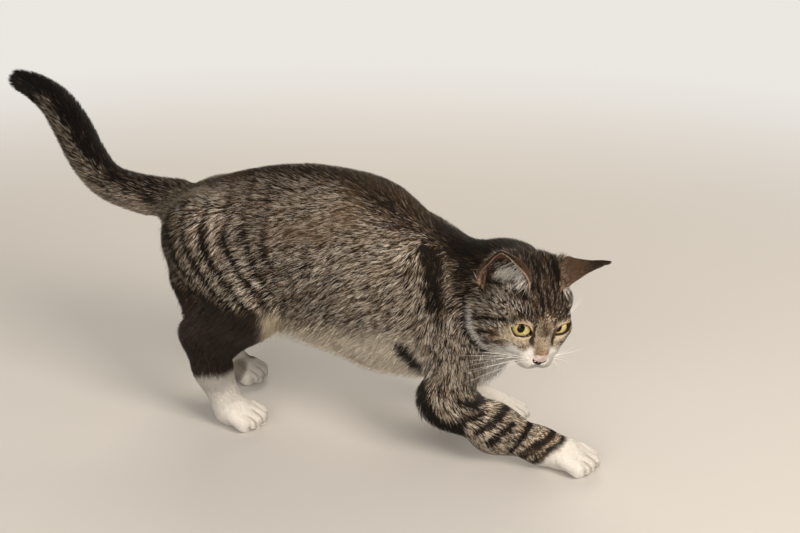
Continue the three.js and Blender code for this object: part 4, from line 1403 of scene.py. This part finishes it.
def hair_colour(tree, along, tone):
    """Ticked hair: dusky root, darkened as painted shade deep in the coat, pale band and dark tip, some hairs
    dark throughout, and the markings.
    """
    band = layered(tree, 0x96795a, (tone, 0xfff6e4, 0.5, 0.8))
    # The root's near-black is partly painted shade, for the shadow among the hairs at the skin.
    colour = layered(tree, 0x1a130f, (along, band, 0.1, 0.42), (along, 0x2a1f16, 0.78, 0.96),
                     (tone, 0x150e0a, 0.5, 0.42))
    for key, dark, pale in MARK_COLOURS:
        mark = add(tree, "ShaderNodeAttribute", attribute_name=key).outputs["Fac"]
        colour = layered(tree, colour, (mark, layered(tree, dark, (tone, pale))))
    return colour


def make_coat_material():
    """Cat's hair: keratin covered in fine scales, which give it a faint, broad gloss along its length."""
    made, tree = new_material("cat_hair")
    along = add(tree, "ShaderNodeAttribute", attribute_name="along").outputs["Fac"]
    tone = add(tree, "ShaderNodeAttribute", attribute_name="tone").outputs["Fac"]
    shader = add(tree, "ShaderNodeBsdfPrincipled", {
        "Base Color": hair_colour(tree, along, tone), "Roughness": 0.55, "IOR": 1.55,
        "Specular IOR Level": 0.18,
    })
    add(tree, "ShaderNodeOutputMaterial", {"Surface": shader.outputs["BSDF"]})
    return made


def make_skin_material():
    """Cat's skin with its short down: matt, in the markings' own colours, and where it is bare, pink at the
    ears' rims, brown in their hollows and dark at the lids and lips."""
    made, tree = new_material("cat_skin")
    pores_per_mm = 0.9  # coarser than real ones, which are too fine to show
    where = add(tree, "ShaderNodeTexCoord").outputs["Object"]
    pores = add(tree, "ShaderNodeTexNoise", {"Vector": where, "Scale": pores_per_mm / MM, "Detail": 2.0})
    fine = pores.outputs["Fac"]
    tone = add(tree, "ShaderNodeMapRange", {"Value": fine, "To Min": 0.42, "To Max": 0.62}).outputs["Result"]
    places = [add(tree, "ShaderNodeAttribute", attribute_name=key) for key in ("hollow", "pink", "rim")]
    hollow, pink, rim = (place.outputs["Fac"] for place in places)
    colour = layered(tree, hair_colour(tree, 0.5, tone),
                     (hollow, layered(tree, 0x4a2a20, (tone, 0x7a4a38))),
                     (pink, layered(tree, 0xbf9f8c, (tone, 0xd8c0ae))),
                     (rim, 0x2a1a12))
    bump = add(tree, "ShaderNodeBump", {"Height": fine, "Strength": 0.4, "Distance": 0.4 * MM})
    shader = add(tree, "ShaderNodeBsdfPrincipled", {
        "Base Color": colour, "Roughness": 0.6, "IOR": 1.4, "Specular IOR Level": 0.3,
        "Normal": bump.outputs["Normal"],
    })
    add(tree, "ShaderNodeOutputMaterial", {"Surface": shader.outputs["BSDF"]})
    return made


def make_eye_material():
    """Cornea, clear and wet, which gives the eye its sharp glint, over an iris of fine spokes that is green
    at its edge and amber by the pupil. The spokes are about 0.2 mm apart, coarser than real ones, to show."""
    made, tree = new_material("cornea")
    places = [add(tree, "ShaderNodeAttribute", attribute_name=key) for key in ("ring", "turn", "pupil")]
    ring, turn_at, pupil = (place.outputs["Fac"] for place in places)
    spread = add(tree, "ShaderNodeMath", {0: turn_at, 1: 9.0}, operation="MULTIPLY").outputs["Value"]
    spoke = add(tree, "ShaderNodeCombineXYZ", {"X": spread, "Y": ring}).outputs["Vector"]
    fibres = add(tree, "ShaderNodeTexNoise", {"Vector": spoke, "Scale": 2.4, "Detail": 3.0}).outputs["Fac"]
    iris = layered(tree, 0x8c8044,
                   (fibres, 0xd2c78e, 0.3, 0.72),
                   (pupil, 0xa88c48, 1.45, 1.0),
                   (ring, 0x6a5620, 0.86, 1.0),
                   (ring, 0x1c130d, 0.97, 1.05),
                   (pupil, 0x030303, 1.06, 0.97))
    shader = add(tree, "ShaderNodeBsdfPrincipled", {
        "Base Color": iris, "Roughness": 0.35, "IOR": 1.38, "Specular IOR Level": 0.0,
        "Coat Weight": 0.6, "Coat Roughness": 0.02, "Coat IOR": 1.38,
    })
    add(tree, "ShaderNodeOutputMaterial", {"Surface": shader.outputs["BSDF"]})
    return made


def make_nose_material():
    """Nose leather: hairless, finely pebbled, damp skin, greyish pink with a dark edge, painted shade in the
    nostrils, and a soft shine.
    """
    made, tree = new_material("nose_leather")
    pebbles_per_mm, clouds_per_mm = 2.6, 0.26
    where = add(tree, "ShaderNodeTexCoord").outputs["Object"]
    pebbles = add(tree, "ShaderNodeTexVoronoi", {"Vector": where, "Scale": pebbles_per_mm / MM})
    clouds = add(tree, "ShaderNodeTexNoise", {"Vector": where, "Scale": clouds_per_mm / MM, "Detail": 2.0})
    # rim: the leather's own dark lower edge, and painted shade inside the nostrils.
    rim = add(tree, "ShaderNodeAttribute", attribute_name="rim").outputs["Fac"]
    colour = layered(tree, 0xa6958f, (clouds.outputs["Fac"], 0xc0b2ac, 0.3, 0.7), (rim, 0x1d1413))
    bump = add(tree, "ShaderNodeBump", {
        "Height": pebbles.outputs["Distance"], "Strength": 0.5, "Distance": 0.3 * MM,
    })
    shader = add(tree, "ShaderNodeBsdfPrincipled", {
        "Base Color": colour, "Roughness": 0.42, "IOR": 1.4, "Normal": bump.outputs["Normal"],
    })
    add(tree, "ShaderNodeOutputMaterial", {"Surface": shader.outputs["BSDF"]})
    return made


# ------------------------------------------------------------------ eyes and nose

# The way each eye looks, in the head's frame.
GAZE = {1: vec(0.785, -0.39, 0.40), -1: vec(0.761, -0.532, 0.37)}
IRIS_RADIUS = 7.6
PUPIL_HALF = (2.7, 3.4)  # half its width and half its height
CORNEA_BULGE = 0.9
EYE_RINGS, EYE_SPOKES = 72, 96


def ball_faces():
    """Triangles of a ball of rings, whose last two points are its front and its rear."""
    front = EYE_RINGS * EYE_SPOKES
    last = front - EYE_SPOKES
    faces = []
    for first in range(0, last, EYE_SPOKES):
        for spoke in range(EYE_SPOKES):
            a, b = first + spoke, first + (spoke + 1) % EYE_SPOKES
            faces += [(a, a + EYE_SPOKES, b), (b, a + EYE_SPOKES, b + EYE_SPOKES)]
    for spoke in range(EYE_SPOKES):
        after = (spoke + 1) % EYE_SPOKES
        faces += [(spoke, after, front), (last + after, last + spoke, front + 1)]
    return np.array(faces)[:, ::-1]


def make_eye(side, node, eye_material):
    """Eyeball with a cornea that stands out over the iris, as rings about the way the eye looks."""
    gaze = unit(HEAD @ GAZE[side])
    across = unit(np.cross(HEAD[:, 2], gaze))
    up = np.cross(gaze, across)
    angle = np.linspace(0, math.pi * 0.86, EYE_RINGS + 1)[1:]
    angle = angle ** 1.15 / angle[-1] ** 0.15  # closer together at the front
    in_front = angle < math.pi / 2
    around = np.linspace(0, 2 * math.pi, EYE_SPOKES, endpoint=False)
    off_axis = np.sin(angle) * EYE_RADIUS
    bulge = CORNEA_BULGE * smooth(IRIS_RADIUS + 0.6, 2.0, off_axis) * in_front
    reach = np.cos(angle) * (EYE_RADIUS - 0.1) + bulge
    circle = across * np.cos(around)[:, None] + up * np.sin(around)[:, None]
    rings = gaze * reach[:, None, None] + off_axis[:, None, None] * circle
    front, rear = gaze * (EYE_RADIUS + CORNEA_BULGE - 0.1), rings[-1].mean(0)
    points = on_head(mirrored(FACE["eye"], side)) + np.vstack([rings.reshape(-1, 3), front, rear])

    behind = EYE_RADIUS + 1
    radius = np.append(np.where(in_front, off_axis, behind).repeat(EYE_SPOKES), [0, behind])
    u = (off_axis[:, None] * np.cos(around)).ravel()
    v = (off_axis[:, None] * np.sin(around)).ravel()
    pupil = np.append(np.hypot(u / PUPIL_HALF[0], v / PUPIL_HALF[1]), [0, 9])
    values = {
        "ring": radius / IRIS_RADIUS,
        "pupil": np.where(radius > EYE_RADIUS, 9, pupil),
        "turn": np.append(np.abs(np.arctan2(v, u)), [0, 0]),
    }
    eye = new_mesh(f"{node}_ball", points, ball_faces(), values, eye_material)
    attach(eye, "root")
    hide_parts(node)


NOSTRIL = vec(15.9, 4.2, -19.9)
NOSE_MIDDLE, NOSE_GRID_HALF, NOSE_GRID_LINES = vec(13, 0, -17), 11.2, 65


def nose_field(p):
    """Nose leather: a pad with a wing on each side, two comma-shaped nostrils and a groove between them."""
    q = to_head(p)
    parts = [oval(vec(12.2, 0.2, -16.8), 4.4, 6.3, 5.0), oval(vec(13.2, 0, -21.6), 3.4, 2.8, 2.3)]
    parts += [oval(vec(12.2, side * 4.0, -19.4), 3.9, 3.4, 3.0) for side in SIDES]
    pad = melt(2.4, *parts)(q)
    for side in SIDES:
        in_nostril = (q - mirrored(NOSTRIL, side)) @ turn(side * 35, 0, side * 30)
        pad = -blend(-pad, oval(vec(0, 0, 0), 2.6, 1.5, 0.9)(in_nostril), 0.5)
    groove = np.maximum(np.abs(q[:, 1]) - 0.3, 18.5 + q[:, 2])
    return np.maximum(pad, -np.maximum(groove, -(pad + 0.6)))


def make_nose(nose_material):
    spans = [
        np.linspace(middle - NOSE_GRID_HALF, middle + NOSE_GRID_HALF, NOSE_GRID_LINES)
        for middle in on_head(NOSE_MIDDLE)
    ]
    points, quads = field_mesh(nose_field, *spans)
    points = settled(nose_field, points, 0.2)
    q = to_head(points)
    above_edge = q[:, 2] + 20.2 - 0.045 * q[:, 1] ** 2
    in_holes = [np.linalg.norm((q - mirrored(NOSTRIL, side)) / vec(1.8, 1.1, 0.7), axis=1) for side in SIDES]
    # The dark in the nostrils is painted shade; the dark along the lower edge is the leather's own.
    rim = strongest(smooth(0.9, 0.2, above_edge), *(smooth(2.6, 1.5, away) for away in in_holes))
    nose = new_mesh("nose_leather", points, quads, {"rim": rim}, nose_material)
    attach(nose, "root")
    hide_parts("nose")


def make_skin(points, quads, traits, skin_material):
    """The skin with its markings, its bare pink places and the dark edges of its lids and lips."""
    q = to_head(points)
    values = {
        **traits["marks"], "hollow": 0.9 * traits["in_ear"],
        "pink": np.maximum(traits["ear_rim"], traits["bare"] * smooth(4, 1, points[:, 2])),
        "rim": np.maximum(near_lids(q, 0.5, 0.15), near_lips(q, 0.8, 0.3)),
    }
    skin = new_mesh("skin", points, quads, values, skin_material)
    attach(skin, "root")
    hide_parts(*[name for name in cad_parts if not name.startswith(("eye", "nose"))])


# ------------------------------------------------------------------ camera, light and floor

CAMERA_AT = vec(239.4, -893.5, 500)  # half a metre up, a little ahead of the cat and to its right
CAMERA_LENS = 56.2
LOOKS_ALONG = Vector((-0.2413, 0.9005, -0.3616))
BACKDROP = 0xebe7e1
FLOOR_REACH = 8  # metres from its middle to each side
MIDDLE_OF_CAT = Vector((0, 0, 0.12))


def make_camera():
    data = bpy.data.cameras.new("camera")
    data.lens = CAMERA_LENS
    data.sensor_width = 36
    data.clip_end = 50
    camera = bpy.data.objects.new("camera", data)
    camera.location = (CAMERA_AT + SHIFT) * MM
    camera.rotation_euler = LOOKS_ALONG.to_track_quat("-Z", "Y").to_euler()
    bpy.context.scene.collection.objects.link(camera)
    bpy.context.scene.camera = camera


def make_lamp(name, place, size, watts, colour):
    """Soft square lamp that faces the middle of the cat."""
    data = bpy.data.lights.new(name, "AREA")
    data.size = size
    data.energy = watts
    data.color = linear(colour)[:3]
    lamp = bpy.data.objects.new(name, data)
    lamp.location = place
    lamp.rotation_euler = (MIDDLE_OF_CAT - Vector(place)).to_track_quat("-Z", "Y").to_euler()
    bpy.context.scene.collection.objects.link(lamp)


def make_board_material():
    """Matt painted board: plain, with hardly any unevenness or shine, and lit evenly where it is far away."""
    made, tree = new_material("painted_board")
    clouds_per_metre = 3.0
    near, far = 0.55, 1.5  # metres from the middle, between which the even light comes in
    where = add(tree, "ShaderNodeTexCoord").outputs["Object"]
    clouds = add(tree, "ShaderNodeTexNoise", {"Vector": where, "Scale": clouds_per_metre, "Detail": 3.0})
    paint = add(tree, "ShaderNodeBsdfPrincipled", {
        "Base Color": layered(tree, 0xd9d6d2, (clouds.outputs["Fac"], 0xd5d2cd)),
        "Roughness": 0.75, "IOR": 1.45, "Specular IOR Level": 0.2,
    })
    away = add(tree, "ShaderNodeVectorMath", {0: where}, operation="LENGTH").outputs["Value"]
    even = add(tree, "ShaderNodeMapRange", {"Value": away, "From Min": near, "From Max": far},
               interpolation_type="SMOOTHSTEP")
    rays = add(tree, "ShaderNodeLightPath").outputs
    seen = add(tree, "ShaderNodeMath", {0: rays["Is Camera Ray"], 1: rays["Is Glossy Ray"]},
               operation="MAXIMUM")
    share = add(tree, "ShaderNodeMath", {0: even.outputs["Result"], 1: seen.outputs["Value"]},
                operation="MULTIPLY")
    glow = add(tree, "ShaderNodeEmission", {"Color": BACKDROP, "Strength": 1.0})
    both = add(tree, "ShaderNodeMixShader", {
        "Fac": share.outputs["Value"], 1: paint.outputs["BSDF"], 2: glow.outputs["Emission"],
    })
    add(tree, "ShaderNodeOutputMaterial", {"Surface": both.outputs["Shader"]})
    return made


def make_floor():
    mesh = bpy.data.meshes.new("floor")
    corners = [(x * FLOOR_REACH, y * FLOOR_REACH, 0) for x, y in ((-1, -1), (1, -1), (1, 1), (-1, 1))]
    mesh.from_pydata(corners, [], [(0, 1, 2, 3)])
    mesh.materials.append(make_board_material())
    floor = bpy.data.objects.new("floor", mesh)
    bpy.context.scene.collection.objects.link(floor)


def make_studio():
    """Floor, three soft lamps and an even surround, which is dimmer as light than as a backdrop."""
    make_floor()
    make_lamp("key", (1.45, -0.9, 1.0), 0.8, 29, 0xfff3e5)
    make_lamp("fill", (-0.1, -1.6, 0.4), 1.2, 18, 0xfff7ef)
    make_lamp("back", (-0.3, 1.5, 1.3), 1.2, 14, 0xfff2e0)
    world = bpy.data.worlds.new("studio")
    world.use_nodes = True
    tree = world.node_tree
    tree.nodes.clear()
    rays = add(tree, "ShaderNodeLightPath").outputs
    seen = rays["Is Camera Ray"]
    strength = add(tree, "ShaderNodeMapRange", {"Value": seen, "To Min": 0.42, "To Max": 1.0})
    sky = add(tree, "ShaderNodeBackground", {"Color": BACKDROP, "Strength": strength.outputs["Result"]})
    add(tree, "ShaderNodeOutputWorld", {"Surface": sky.outputs["Background"]})
    bpy.context.scene.world = world
    bpy.context.scene.view_settings.view_transform = "Standard"


make_camera()
make_studio()
points, quads = skin_shape()
traits = carried(points, quads)
make_skin(points, quads, traits, make_skin_material())
eye_material = make_eye_material()
for side, node in zip(SIDES, ("eye_left", "eye_right")):
    make_eye(side, node, eye_material)
make_nose(make_nose_material())
coat_material = make_coat_material()
make_coat(points, quads, traits, coat_material)
make_fringe(points, quads, traits, coat_material)
make_ear_hair(points, quads, traits, coat_material)
make_whiskers(coat_material)
